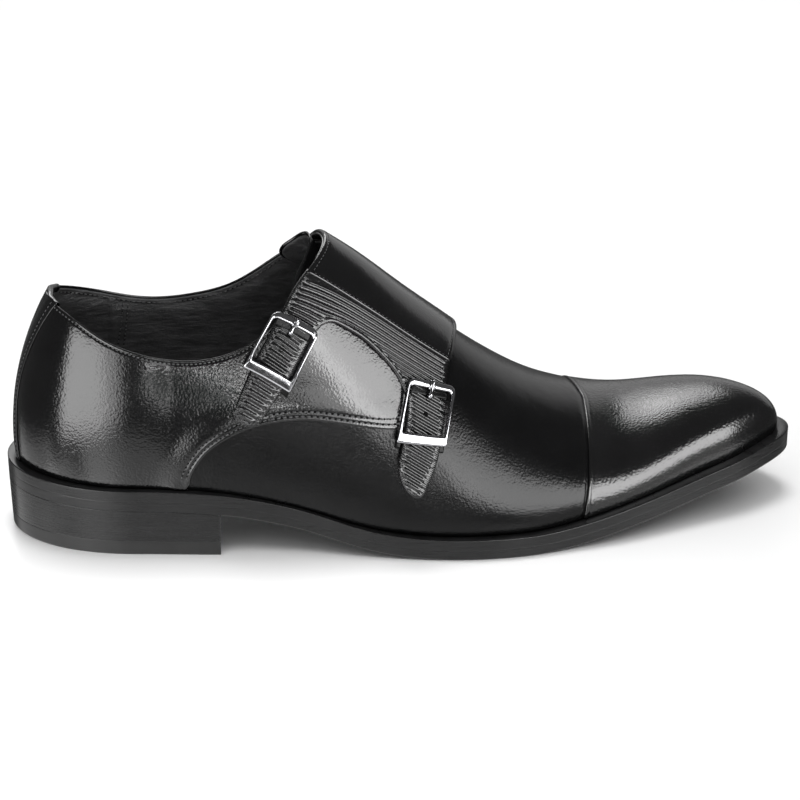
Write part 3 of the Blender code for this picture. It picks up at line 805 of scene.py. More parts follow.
def build_vamp(finish):
    """The vamp: both sides run under the quarters behind and meet on the ridge ahead."""
    xs = np.concatenate([np.arange(VAMP_FROM, VAMP_FINE, 1.3), np.arange(VAMP_FINE, VAMP_TO, 0.5)])
    seam = np.array([row for row in QUARTER_SEAM if row[0] <= np.mean(VAMP_CLOSED) + 0.5])
    outers, inners, faces, start = [], [], [], 0
    for side in (LATERAL, MEDIAL):
        g = np.interp(xs, seam[:, 0], seam[:, 1])
        _, t_seam = to_upper(xs, side * g)
        t_high = np.where(xs < SEAM_FOOT, VAMP_CORNER, np.clip(t_seam + VAMP_UNDER, 0, 1))
        t_high = mix(t_high, 1.0, ease(xs, *VAMP_CLOSED))
        rows = np.linspace(0, 1, 62)[:, None]
        t = rows * t_high
        q = station(xs, side) * np.ones_like(t)
        base = on_upper(q, t)
        from_edge = cap_edge(t) - xs
        lift = VAMP_DOWN * (1 - ease(xs, 150, 175)) + unevenness(base)
        lift = lift - 0.35 * (1 - ease(from_edge, 0.3, 1.6)) - 0.3 * (1 - ease(from_edge, -3, 0))
        outers.append(on_upper(q, t, lift))
        inners.append(on_upper(q, t, lift - VAMP_THICK))
        met = t[-1] > 0.9999
        made = grid_faces(*t.shape)
        if side == MEDIAL:
            made = [face[::-1] for face in made]
        faces += [tuple(start + i for i in face) for face in made]
        start += t.size
    for face in (outers, inners):
        ridge = (face[0][-1, met] + face[1][-1, met]) / 2
        face[0][-1, met] = face[1][-1, met] = ridge
    outers, inners = (np.concatenate([f.reshape(-1, 3) for f in face]) for face in (outers, inners))
    piece = shell("vamp", outers, inners, faces, finish)
    fair(piece, lambda p: 1 - ease(np.abs(p[:, 1] - LAST["ridge_y"](p[:, 0])), 6, 14), 12)
    return piece


def fair(piece, weight, rounds):
    """Evens out a piece where weight(points) says."""
    mesh = piece.data
    co = np.zeros(len(mesh.vertices) * 3)
    mesh.vertices.foreach_get("co", co)
    co = co.reshape(-1, 3)
    ends = np.zeros(len(mesh.edges) * 2, int)
    mesh.edges.foreach_get("vertices", ends)
    a, b = ends.reshape(-1, 2).T
    share = np.clip(weight(co / MM + CENTRE), 0, 1)[:, None] * 0.5
    degree = np.bincount(np.concatenate([a, b]), minlength=len(co))[:, None]
    for _ in range(rounds):
        total = np.zeros_like(co)
        np.add.at(total, a, co[b])
        np.add.at(total, b, co[a])
        co += (total / degree - co) * share
    mesh.vertices.foreach_set("co", co.ravel())
    mesh.update()


def build_toe_cap(finish):
    """The toe cap: a leather over the vamp, its straight edge stitched down."""
    fine = FINE[:13]
    heights = np.linspace(0, 1, CAP_ROWS)[:, None]
    q_edge = station(cap_edge(heights), 1)
    per_q = (TOE_FAN - HEEL_FAN) / (Q_TOE - Q_HEEL)
    start = q_edge + fine / per_q
    rest = start[:, -1:] + (1 - start[:, -1:]) * np.linspace(0, 1, 70)[1:]
    turn = np.concatenate([start, rest], axis=1)
    q = np.concatenate([-turn, turn[:, -2::-1]], axis=1)
    t = heights * np.ones_like(q)
    edge = (np.minimum(np.abs(wrapped(q)), 1) - q_edge) * per_q
    radius = CAP_THICK / 2 - 0.1
    lift = CAP_OUT - groove(edge, 1.75, 0.14, 0.4) - 0.08 * ease(edge, 0.9, 2.4)
    lift = lift + unevenness(on_upper(q, t)) * ease(edge, 0, 8)
    drop = rolled(edge, radius)
    outer = on_upper(q, t, lift - drop)
    inner = on_upper(q, t, lift - CAP_THICK + np.minimum(drop, CAP_THICK / 2))
    at_pole = np.abs(wrapped(q[-1])) >= Q_TOE
    for face in (outer, inner):
        face[-1] = (face[-1] + face[-1, ::-1]) / 2
        face[-1, at_pole] = face[-1, at_pole].mean(axis=0)
    piece = shell("toe_cap_leather", outer, inner, grid_faces(*q.shape), finish,
                  ("toe_cap",))

    def near_pole(points):
        away = np.linalg.norm(points[:, :2] - (TOE_FAN, POLE_Y), axis=1)
        ridge = 1 - ease(np.abs(points[:, 1] - POLE_Y), 5, 12)
        return np.maximum(1 - ease(away, 10, 30), ridge * ease(points[:, 0], 232, 242))

    fair(piece, near_pole, 30)
    return piece


# Lining, a sheet inside the whole upper
LINING_OUT, LINING_THICK, LINING_DROP = -1.0, 1.2, 0.9
RIM_OUT, RIM_LINING = -0.45, 0.8     # the lining's place and thickness at the collar's edge
LINING_SEAM_X = 42.8
LINING_TALL = 70.0                   # nominal length of its lines from the feather up
COLLAR_END = 0.385                   # station at which the collar runs in under the flap


def lining_faces(from_top):
    """Lifts of the lining's outer and inner faces."""
    share = ease(from_top, 0, 8)
    outer = mix(RIM_OUT, LINING_OUT, share)
    return outer, outer - mix(RIM_LINING, LINING_THICK, share)


def build_lining(finish):
    """The lining: it stops just under the collar's edge and has a seam in the medial side."""
    turns = np.concatenate([np.linspace(-1, -0.62, 40)[:-1], np.linspace(-0.62, 0.62, 330),
                            np.linspace(0.62, 1, 40)[1:-1]])
    rows = graded(np.full(len(turns), LINING_TALL), 2.0, EVEN) / LINING_TALL
    q = turns * np.ones_like(rows)
    low = LINING_DROP / LINING_TALL * (1 - ease(np.abs(turns), COLLAR_END, 0.412))
    t = rows * (1 - low)
    base = on_upper(q, t)
    from_top = (1 - rows) * LINING_TALL
    face_out, face_in = lining_faces(from_top)
    drop = rolled(from_top, (face_out - face_in) / 2)
    seam = np.where(q > 0, groove(base[..., 0], LINING_SEAM_X, 0.7, 0.8), 0)
    wrinkle = unevenness(base, 9.0, 0.16) + groove(from_top, 1.5, 0.15) + seam
    outer = on_upper(q, t, face_out - drop)
    inner = on_upper(q, t, face_in + drop - wrinkle * ease(from_top, 0.5, 2.5))
    shell("lining_leather", outer, inner, grid_faces(rows.shape[0], len(turns), True), finish,
          ("upper",))
    rim = np.linspace(-COLLAR_END, COLLAR_END, 700)
    at = np.full(len(rim), 1 - (LINING_DROP + 1.6) / LINING_TALL)
    sew_upper("lining_thread", rim, at, lining_faces(1.6)[1], 2.0, 1.4, 0.22, -1)
    at = np.linspace(1 - 3.5 / LINING_TALL, 0.2, 120)
    half = np.linspace(0.05, 0.4, 400)
    for away in (1.3, 3.6):
        rim = np.interp(LINING_SEAM_X + away, on_upper(half, 0.6)[:, 0], half) + 0 * at
        sew_upper("lining_thread", rim, at,
                  lining_faces((1 - at) * LINING_TALL - LINING_DROP)[1], 1.9, 1.2, 0.2, -1)


# Strip over the back seam
STRIP_OUT, STRIP_THICK = 0.75, 0.5
STRIP_HALF = columns("t half", ((0.0, 8.0), (0.25, 6.8), (0.45, 5.5), (0.65, 6.3), (0.85, 7.6),
                                (1.0, 8.3)))["half"]
# Distances from the strip's edge at which its mesh has lines
EDGE_ACROSS = np.array((0, 0.05, 0.14, 0.3, 0.6, 1.0, 1.3, 1.6, 1.9, 2.4, 3.2, 4.2))


def build_back_strip(finish):
    """A narrow strip up the back seam, turned over the collar and sewn down inside."""
    up_rows, over_rows, inside_rows = 70, 12, 10
    inside, height = 2.5, 80.0
    t = np.concatenate([np.linspace(0, 1, up_rows), np.ones(over_rows),
                        1 - np.linspace(0.3, inside, inside_rows) / height])
    angle = np.concatenate([np.zeros(up_rows), np.linspace(0, math.pi, over_rows + 2)[1:-1],
                            np.full(inside_rows, math.pi)])
    half = STRIP_HALF(t)
    per_q = np.linalg.norm(on_upper(0.01, t) - on_upper(-0.01, t), axis=-1) / 0.02
    for side in (-1, 1):
        part = slice(0, up_rows + 2)
        sew_upper("upper_thread", (side * (half - 1.5) / per_q)[part], t[part],
                  STRIP_OUT - 0.05, 1.9, 1.3, 0.16)
    width = np.concatenate([-half[:, None] + EDGE_ACROSS, half[:, None] - EDGE_ACROSS[::-1]],
                           axis=1)
    to_end = np.full(len(t), NO_EDGE)
    to_end[up_rows + over_rows - 1:] = np.linspace(inside + 2.0, 0, inside_rows + 1)
    edge = np.minimum(half[:, None] - np.abs(width), to_end[:, None])
    q, t = width / per_q[:, None], t[:, None] * np.ones_like(width)
    middle = (STRIP_OUT + RIM_OUT - RIM_LINING - STRIP_THICK) / 2
    reach = STRIP_OUT - STRIP_THICK / 2 - middle
    up = unit(on_upper(q, t) - on_upper(q, t - 0.01))
    out = upper_normal(q, t)
    spine = np.cos(angle)[:, None, None] * out + 0.8 * np.sin(angle)[:, None, None] * up
    base = on_upper(q, t) + out * middle
    drop = rolled(edge, STRIP_THICK / 2)[..., None]
    pad = groove(edge, 1.5, 0.08, 0.4)[..., None]
    outer = base + spine * (reach + STRIP_THICK / 2 - drop - pad)
    inner = base + spine * (reach - STRIP_THICK / 2 + drop)
    shell("back_strip", outer, inner, grid_faces(*q.shape), finish)


# Flat cut pieces laid on the last: outlines in pattern places (x, g)
FLAP_REAR = ((107, 46), (110, 34), (117, 21), (121.3, 9), (122.9, -2), (119.7, -13.0),
             (115.8, -20.7), (110.2, -29.4), (106.3, -37.5), (96.8, -55.8), (91.2, -67.7),
             (87.1, -77.9))
REAR_TIP = ((87.1, -77.9), (88.4, -81.2), (93.2, -83.7), (97.7, -79.9))
REAR_STRAP_FRONT = ((97.7, -79.9), (103.9, -69.4), (108.8, -60.5), (117.2, -43.6),
                    (120.3, -38.8))
NOTCH = ((120.3, -38.8), (124.7, -35.4), (129.7, -35.0), (135.2, -35.1), (142.5, -37.3),
         (147.9, -40.5), (151.4, -46.0))
FRONT_STRAP_REAR = ((151.4, -46.0), (150.6, -58.5), (149.2, -66.0), (147.8, -72.8))
FRONT_TIP = ((147.8, -72.8), (148.6, -80.0), (150.6, -82.8), (154.1, -83.4), (156.9, -80.8),
             (158.4, -76.4))
FRONT_STRAP_FRONT = ((158.4, -76.4), (161.3, -68.2), (163.4, -59.4), (165.4, -48),
                     (166.6, -38), (167.7, -28.5), (169.0, -22.9))
BAND_FRONT = ((169.0, -22.9), (169.9, -19.6), (172.8, -7.2), (174.0, 0), (174.6, 8), (173, 20),
              (168, 34))
FLAP_FOOT = ((168, 34), (160, 44), (140, 48), (120, 48), (107, 46))
BAND_EDGE = ((115.4, -21.2), (128.7, -22.9), (141.5, -23.2), (154.7, -23.2), (169.0, -22.9))
BAND_REAR = FLAP_REAR[:6] + ((115.4, -21.2),)
RIB_REAR = ((115.9, -19.6),) + FLAP_REAR[7:]
RIB_FRONT = FRONT_STRAP_FRONT[:-1] + ((169.4, -21.4),)
RIB_TOP = ((169.4, -21.4), (154.7, -21.6), (141.5, -21.6), (128.7, -21.3), (115.9, -19.6))
STRAP_EDGES = (REAR_TIP, REAR_STRAP_FRONT, NOTCH, FRONT_STRAP_REAR, FRONT_TIP)


def outline(edges):
    return np.concatenate([path_through(edge, 0.8)[:-1] for edge in edges])


def to_outline(points, loop):
    """Distance of each point from a closed outline, and whether it lies inside."""
    closed = np.concatenate([loop, loop[:1]])
    inside = np.zeros(len(points), bool)
    for (ax, ay), (bx, by) in zip(loop, closed[1:]):
        crosses = (ay > points[:, 1]) != (by > points[:, 1])
        if abs(by - ay) > 1e-12:
            inside ^= crosses & (points[:, 0] < (bx - ax) * (points[:, 1] - ay) / (by - ay) + ax)
    return from_line(points, closed), inside


def inward(line, ahead, loop):
    """Unit vectors square to a line, towards the inside of an outline."""
    square = squared(ahead)
    within = to_outline(line + square, loop)[1]
    return square if np.mean(within) > 0.5 else -square


def cut_piece(name, edges, lift, thickness, steps, finish, replaced=(),
              fine=(0.06, 0.2, 0.42, 0.75, 1.15, 1.6, 2.1), rows=None):
    """A piece of leather cut to an outline, its edges rounded.

    Its mesh has lines at the fine distances from the edge, and inside them points a step (x, g)
    apart or on the given rows. lift(x, g, distance from the edge) is the height of its face.
    """
    loop = outline(edges)
    rings = []
    square = inward(loop, np.roll(loop, -1, axis=0) - np.roll(loop, 1, axis=0), loop)
    for distance in fine:
        ring = loop + square * distance
        far, within = to_outline(ring, loop)
        rings.append(ring[within & (far > distance * 0.9)])
    low, high = loop.min(axis=0), loop.max(axis=0)
    xs = np.arange(low[0], high[0], steps[0])
    gs = np.arange(low[1], high[1], steps[1]) if rows is None else rows
    stagger = 0 if rows is not None else steps[0] / 2
    inner = np.array([(x + (k % 2) * stagger, g) for k, g in enumerate(gs) for x in xs])
    far, within = to_outline(inner, loop)
    kept = within & (far > fine[-1] + 0.25)
    start = len(loop) + sum(len(ring) for ring in rings)
    number = start + np.cumsum(kept) - 1
    inner_rows = [] if rows is None else [
        (int(number[i]), int(number[i + 1])) for i in range(len(inner) - 1)
        if kept[i] and kept[i + 1] and inner[i][1] == inner[i + 1][1]]
    inner = inner[kept]
    places = np.concatenate([loop] + rings + [inner])
    scale = np.array((1 / steps[0], 1 / steps[1]))
    count = len(loop)
    rim = [(i, (i + 1) % count) for i in range(count)] + inner_rows
    verts, _, faces, *_ = geometry.delaunay_2d_cdt(
        [Vector(p) for p in (places * scale).tolist()], rim, [], 1, 1e-5)
    flat = np.array([tuple(v) for v in verts]) / scale
    distance = to_outline(flat, loop)[0]
    height = lift(flat[:, 0], flat[:, 1], distance)
    radius = thickness / 2
    drop = rolled(distance, radius)
    outer = on_pattern(flat[:, 0], flat[:, 1], height - drop)
    base = lift(flat[:, 0], flat[:, 1], np.full(len(flat), NO_EDGE))
    inner = on_pattern(flat[:, 0], flat[:, 1],
                       np.minimum(base - thickness + drop, height - drop - 0.02))
    faces = [tuple(face) for face in faces]
    return shell(name, outer, inner, faces, finish, replaced)


LINER = 0.9               # lining of the flap and straps
BAND_OUT = 2.95
RIB_BASE, RIB_HIGH = 2.3, 0.68
RIB_ROWS = ((0.5, 0), (10.7, 5), (16.8, 9), (72.0, 32))   # mm below the band, ribs so far
RIBS_FROM = -23.0
RIB_LEAN = 0.42             # the rear strap's ribs run square across it


def ribs(x, g, distance):
    """Height of the ribbed leather: pleats along the shoe, pressed flat along its edges."""
    down = RIBS_FROM - g
    lean = RIB_LEAN * (1 - ease(x, 119, 131)) * ease(down, 3, 31)
    down = down - lean * (x - 110 - 0.4 * (g + 30))
    table = np.array(RIB_ROWS)
    phase = np.interp(down, table[:, 0], table[:, 1]) % 1
    wave = 0.5 - 0.5 * np.cos(2 * math.pi * phase)
    crest = wave ** mix(2.6, 1.1, ease(down, 10, 18)) * (down > table[0, 0])
    edge = ease(distance, 1.3, 2.6)
    return (RIB_BASE + RIB_HIGH * crest * edge + 0.15 * (1 - edge)
            - groove(distance, 1.75, 0.18, 0.4))


def rib_lines():
    """Girths at which rows of the ribbed leather's mesh lie."""
    table = np.array(RIB_ROWS)
    phases = np.arange(0, table[-1, 1])[:, None] + np.array((0.0, 0.14, 0.26, 0.38, 0.5, 0.62,
                                                             0.74, 0.86))
    return RIBS_FROM - np.interp(phases.ravel(), table[:, 1], table[:, 0])


def band(x, g, distance):
    return (BAND_OUT - groove(distance, 1.5, 0.14, 0.4)
            + unevenness(on_pattern(x, g)) * ease(distance, 0, 6))


# Rows of stitches inside edges: the edges, distance from them, share of the row at which it starts
# and ends, pitch, length and radius of a stitch
BAND_SEAMS = (((BAND_REAR,), 1.5, (0, 1), 1.8, 1.25, 0.16),
              ((BAND_FRONT,), 1.5, (0, 1), 1.8, 1.25, 0.16),
              ((FLAP_FOOT,), 1.5, (0, 1), 1.8, 1.25, 0.16),
              ((FLAP_FOOT,), 4.0, (0, 1), 1.8, 1.25, 0.16),
              ((BAND_EDGE,), 1.2, (0, 1), 1.7, 1.1, 0.12))
STRAP_SEAMS = (((RIB_REAR[:4],), 1.5, (0.06, 1), 2.4, 1.9, 0.42),
               ((RIB_REAR[3:], REAR_TIP, REAR_STRAP_FRONT), 1.75, (0.02, 1), 1.9, 1.3, 0.19),
               ((NOTCH,), 1.75, (0, 1), 1.9, 1.3, 0.19),
               ((FRONT_STRAP_REAR, FRONT_TIP, FRONT_STRAP_FRONT), 1.75, (0, 0.97), 2.0, 1.45,
                0.24))


def seam_row(kind, loop, lift, edges, distance, ends, pitch, length, radius):
    """Stitches inside some edges of a cut piece, at a distance from them."""
    whole = outline(loop)
    line = outline(edges)
    line = line + inward(line, np.gradient(line, axis=0), whole) * distance
    line = line[to_outline(line, whole)[0] > distance * 0.93]
    line = line[int(ends[0] * len(line)):int(ends[1] * len(line))]
    points = on_pattern(line[:, 0], line[:, 1], lift)
    normals = unit(on_pattern(line[:, 0], line[:, 1], lift + 1) - points)
    sew(kind, points, normals, pitch, length, radius)


def build_flap(calf, ribbed):
    whole = (FLAP_REAR,) + STRAP_EDGES + (FRONT_STRAP_FRONT, BAND_FRONT, FLAP_FOOT)
    cut_piece("flap_lining", whole, lambda x, *_: 0 * x + FLAP_LIFT + LINER, LINER, (3.0, 3.0),
              calf, fine=(0.06, 0.2, 0.45))
    band_loop = (BAND_REAR, BAND_EDGE, BAND_FRONT, FLAP_FOOT)
    cut_piece("instep_band", band_loop, band, BAND_OUT - FLAP_LIFT - LINER, (1.4, 1.4), calf)
    rib_loop = (RIB_REAR,) + STRAP_EDGES + (RIB_FRONT, RIB_TOP)
    cut_piece("ribbed_straps", rib_loop, ribs, RIB_BASE - FLAP_LIFT - LINER - 0.05,
              (0.9, 0.22), ribbed, ("monk_flap",),
              fine=(0.06, 0.2, 0.42, 0.75, 1.15), rows=rib_lines())
    for row in BAND_SEAMS:
        seam_row("upper_thread", band_loop, BAND_OUT - 0.1, *row)
    for row in STRAP_SEAMS:
        seam_row("strap_thread", rib_loop, RIB_BASE - 0.02, *row)


# Tongue, two leathers inside the flap
TONGUE_EDGE = ((118.6, 0), (117.4, 6), (115.2, 11), (112.4, 15.5), (109.4, 20), (108.4, 25.5),
               (118, 27), (130, 26), (150, 20), (156, 10), (157, 0), (156, -10), (150, -20),
               (130, -26), (117, -29), (111.6, -29.5), (112.2, -25), (114.0, -20),
               (116.6, -13.5), (118.6, -6), (118.6, 0))
TONGUE_DOWN = 2.2 + 1.7           # outer face under the upper's
TONGUE_RISE = 4.6


def tongue_lift(x, g, *_):
    """The tongue lies inside the upper and stands up where it comes out behind the flap."""
    rear = np.array([row for row in FLAP_REAR if abs(row[1]) < 40][::-1])
    edge = np.interp(g, rear[:, 1], rear[:, 0])
    flare = ease(edge - x, -4.0, 6.0)
    flare = flare * (0.5 + 0.5 * np.cos(math.pi * np.clip(np.abs(g) / 22, 0, 1)))
    return -TONGUE_DOWN + TONGUE_RISE * flare


def build_tongue(calf, lining):
    cut_piece("tongue_leather", (TONGUE_EDGE,), tongue_lift, 1.0, (1.5, 1.5), calf,
              ("tongue",), fine=(0.06, 0.2, 0.42, 0.9))
    inner = tuple((mix(x, 133, 0.05), g * 0.96) for x, g in TONGUE_EDGE)
    cut_piece("tongue_lining", (inner,), lambda x, g, *_: tongue_lift(x, g) - 1.1, 0.9,
              (1.8, 1.8), lining, fine=(0.06, 0.2, 0.42, 0.9))


# Buckles: corners of their frames on the straps, in pattern places
REAR_BUCKLE = ((103.3, -37.9), (119.5, -41.4), (90.9, -60.4), (107.8, -67.5))
FRONT_BUCKLE = ((151.5, -39.6), (169.5, -33.2), (146.7, -66.6), (165.1, -57.6))
BUCKLE_LOW = FLAP_LIFT + STRAP + GAP
BAR = {"side": 1.4, "top": 2.7, "foot": 4.2}
CORNER_OUT, CORNER_IN = 3.0, 1.5
CORNER_STEPS = 7
STRAP_HOLES = 0.27, 0.52              # places down the open frame
STRAP_HOLE = ((0.95, 2.7), (0.8, 3.02), (0.5, 2.9), (0.3, 2.6))     # radius, height

# Across a bar from its inner edge out: share, height of the round sides, of the flat bars of the
# front buckle and of the rear one
BAR_SECTION = (
    (0.0, 0.25, 0.25, 0.25), (0.0, 0.7, 0.8, 0.9), (0.06, 1.05, 1.45, 1.6),
    (0.16, 1.38, 1.6, 1.75), (0.3, 1.62, 1.64, 1.66), (0.5, 1.75, 1.66, 1.5),
    (0.7, 1.72, 1.66, 1.34), (0.85, 1.55, 1.62, 1.22), (0.94, 1.2, 1.45, 1.05),
    (1.0, 0.75, 0.8, 0.6), (1.0, 0.25, 0.25, 0.25), (0.9, 0.05, 0.05, 0.05),
    (0.1, 0.05, 0.05, 0.05), (0.0, 0.25, 0.25, 0.25))


def frame_loop(width, length, inset, foot_corner):
    """A frame outline in millimetres, its top corners round and its foot corners nearly square."""
    side, top, foot, radius = inset
    left, right, head, toe = side, width - side, top, length - foot
    loop = []
    for cx, cy, start, r in ((left, head, math.pi, radius), (right, head, 1.5 * math.pi, radius),
                             (right, toe, 0, foot_corner), (left, toe, 0.5 * math.pi, foot_corner)):
        mid_x = cx + r if cx == left else cx - r
        mid_y = cy + r if cy == head else cy - r
        for k in range(CORNER_STEPS + 1):
            a = start + math.pi / 2 * k / CORNER_STEPS
            loop.append((mid_x + r * math.cos(a), mid_y + r * math.sin(a)))
    spread = []
    for (ax, ay), (bx, by) in zip(loop, loop[1:] + loop[:1]):
        steps = 12 if math.hypot(bx - ax, by - ay) > 6 else 1
        spread += [(ax + (bx - ax) * k / steps, ay + (by - ay) * k / steps)
                   for k in range(steps)]
    return np.array(spread)


def build_buckle(name, corners, metal, calf, hole_shade_finish):
    """A frame on the strap with its prong, the keeper leather round its top bar, two holes as dark
    discs of painted shade.
    """
    top_rear, top_front, foot_rear, foot_front = np.array(corners, float)

    def place(across, along, lift):
        start = mix(top_rear, top_front, np.asarray(across)[..., None])
        end = mix(foot_rear, foot_front, np.asarray(across)[..., None])
        spot = mix(start, end, np.asarray(along)[..., None])
        return on_pattern(spot[..., 0], spot[..., 1], lift)

    width = float(np.linalg.norm(place(1.0, 0.5, 3.0) - place(0.0, 0.5, 3.0)))
    length = float(np.linalg.norm(place(0.5, 1.0, 3.0) - place(0.5, 0.0, 3.0)))
    outer = frame_loop(width, length, (0, 0, 0, CORNER_OUT), 0.6)
    inner = frame_loop(width, length, (BAR["side"], BAR["top"], BAR["foot"], CORNER_IN), 0.5)
    rings = []
    wide = np.maximum(ease(outer[:, 1], length - 4, length - 2), 1 - ease(outer[:, 1], 0.6, 2.4))
    for share, on_side, front, rear in BAR_SECTION:
        flat = front if name == "front" else rear
        spot = mix(inner, outer, share)
        rings.append(place(spot[:, 0] / width, spot[:, 1] / length,
                           BUCKLE_LOW + mix(on_side, flat, wide)))
    points = np.concatenate(rings)
    add_piece("buckle_" + name, points, grid_faces(len(rings), len(outer), True), metal,
              ("buckle_frame_" + name,))
    build_prong(name, place, width, length, metal)
    build_keeper(name, place, width, length, calf)
    # Each strap hole is a dark disc: painted shade of the hole
    for k, along in enumerate(STRAP_HOLES):
        ring = [place(0.5 + r * math.cos(a) / width, along + r * math.sin(a) / length, lift)
                for r, lift in STRAP_HOLE for a in round_angles(16)]
        add_piece(f"strap_hole_shade_{name}_{k + 1}", ring,
                  tube_faces(len(ring), len(STRAP_HOLE), 16), hole_shade_finish)


# Along a prong: distance from the frame's head, height, radius
PRONG = ((-0.2, 2.5, 0.5), (0.35, 2.55, 0.56), (0.9, 2.5, 0.58), (1.8, 2.3, 0.56),
         (3.0, 2.1, 0.54), (4.2, 1.8, 0.58), (4.8, 1.7, 0.85), (5.4, 1.6, 1.02),
         (6.0, 1.4, 0.9), (6.4, 1.2, 0.6), (6.6, 1.1, 0.1))
# Across its ring: place along the top bar, reach from the bar's middle
PRONG_RING = ((-1.15, 1.05), (-1.15, 1.4), (-0.69, 1.48), (0.69, 1.48), (1.15, 1.4),
              (1.15, 1.05))


def build_prong(name, place, width, length, metal):
    """A short rod from its ring round the top bar down into the first hole."""
    sides = 12
    points = [place(0.5 + radius * math.cos(a) / width, down / length,
                    BUCKLE_LOW + lift - 0.3 + radius * math.sin(a))
              for down, lift, radius in PRONG for a in round_angles(sides)]
    add_piece("prong_" + name, points, tube_faces(len(points), len(PRONG), sides), metal,
              ("buckle_prong_" + name,))
    half_bar = BAR["top"] / 2
    ring = [place(0.5 + across / width,
                  (half_bar + (reach + half_bar - 0.9) * math.cos(a)) / length,
                  BUCKLE_LOW + 0.85 + reach * math.sin(a) * 0.95)
            for a in round_angles(28) for across, reach in PRONG_RING]
    faces = [tuple(i % len(ring) for i in face)
             for face in grid_faces(28 + 1, len(PRONG_RING), True)]
    add_piece("prong_ring_" + name, ring, faces, metal)


def build_pad(name, place, size, down, across, radius, lifts, calf):
    """A small leather rectangle; lifts(drop, share) gives its two faces, share down it."""
    share = np.linspace(0, 1, 12)[:, None]
    down = mix(down[0], down[1], share)
    across = np.linspace(*across, 26)[None, :]
    edge = np.minimum(np.minimum(down - down[0], down[-1] - down),
                      np.minimum(across - across[0, 0], across[0, -1] - across))
    outer, inner = (place(across / size[0] + 0 * down, down / size[1] + 0 * across, lift)
                    for lift in lifts(rolled(edge, radius), share))
    shell(name, outer, inner, grid_faces(*edge.shape), calf)


def build_keeper(name, place, width, length, calf):
    """Smooth leather under the top bar that holds the buckle, and its sewn end at the foot."""
    size = width, length

    def keeper_faces(drop, share):
        top = FLAP_LIFT + STRAP - 0.12 + 0.22 * share
        return top - drop, top - 0.5 + drop

    build_pad("buckle_keeper_" + name, place, size, (0.6, 5.4), (2.0, width - 2.0), 0.25,
              keeper_faces, calf)
    spots = {"rear": ((width - 4.4, width + 0.2),),
             "front": ((0.4, 2.6), (width - 2.4, width + 0.3))}
    for k, spot in enumerate(spots[name]):
        build_pad(f"buckle_tab_{name}_{k + 1}", place, size, (length - 1.0, length + 2.6), spot,
                  0.7, lambda drop, share: (1.35 - drop, 0.2 + 0 * drop), calf)


# Sole
SOLE_TURNS = np.concatenate([np.linspace(0, 0.22, 36)[:-1], np.linspace(0.22, 0.8, 110)[:-1],
                             np.linspace(0.8, 1, 50)])
AROUND = np.concatenate([SOLE_TURNS, -SOLE_TURNS[-2:0:-1]])


def sole_loop(inset, height):
    """Points round the sole drawn in by inset, at a height over the sole's underside."""
    flat = shrunk_edge(AROUND, inset)
    return stack(flat[:, 0], flat[:, 1], underside(station_x(AROUND)) + height)


def zipped(start, count):
    """Faces that close a loop across from side to side."""
    faces = []
    for i in range(count // 2):
        ring = [start + i, start + (i + 1) % count,
                start + (count - i - 1) % count, start + (count - i) % count]
        face = [v for k, v in enumerate(ring) if v not in ring[:k]]
        if len(face) > 2:
            faces.append(tuple(face))
    return faces


def turned_slab(name, loops, finish, replaced):
    """A closed slab from the loops down its side, from its top face to its bottom one."""
    count = len(loops[0])
    faces = grid_faces(len(loops), count, True) + zipped(0, count)
    faces += zipped((len(loops) - 1) * count, count)
    return add_piece(name, np.concatenate(loops), faces, finish, replaced)


JOINT = 0.015             # the fine line where two layers of the sole meet
# Round the welt: inset, height over the outsole, and inset as a share of what shows
WELT_SECTION = (
    (13.0, 0.3, 0), (0.5, 0, 0), (JOINT, 0, 0), (0, 0.05, 0), (0, 0.4, 0), (0, 3.8, 0),
    (0, 4.12, 0), (0.05, 4.28, 0), (0.16, 4.36, 0), (0.34, 4.38, 0), (0, 4.36, 0.3),
    (0, 4.3, 0.5), (0, 4.22, 0.7), (0, 4.14, 0.9), (0, 4.1, 1.2), (13.0, 4.1, 0),
    (13.0, 0.3, 0))


def build_sole(edge, heel_finish, rubber):
    ahead = ease(station_x(AROUND), BREAST - 1, BREAST + 4)
    profile = ((6.0, OUTSOLE), (JOINT, OUTSOLE), (0, OUTSOLE - 0.04), (0, OUTSOLE - 0.4),
               (0, 0.8), (0, 0.5), (0.12 * ahead, 0.15), (JOINT + 0.4 * ahead, 0), (1.2, 0))
    turned_slab("outsole_leather", [sole_loop(*row) for row in profile], edge,
                ("outsole",))
    low = OUTSOLE + 0.005
    show = margin(station_x(AROUND), side_of(AROUND))
    loops = [sole_loop(inset + share * show, low + height)
             for inset, height, share in WELT_SECTION]
    add_piece("welt_leather", np.concatenate(loops),
              grid_faces(len(loops), len(AROUND), True), edge, ("welt",))
    build_heel(heel_finish, rubber)


def heel_outline(inset):
    """Points round the heel block, from the back round to the straight breast and back."""
    turns = SOLE_TURNS[station_x(SOLE_TURNS) < BREAST - 0.6]
    medial = sole_edge(turns) - outward(turns) * inset
    lateral = sole_edge(-turns[:0:-1]) - outward(-turns[:0:-1]) * inset
    x = BREAST - inset
    spread = np.linspace(1, -1, 25)
    breast = stack(x, EDGE["middle"](x) + (half_width(x) - inset) * spread)
    return np.concatenate([medial, breast, lateral])


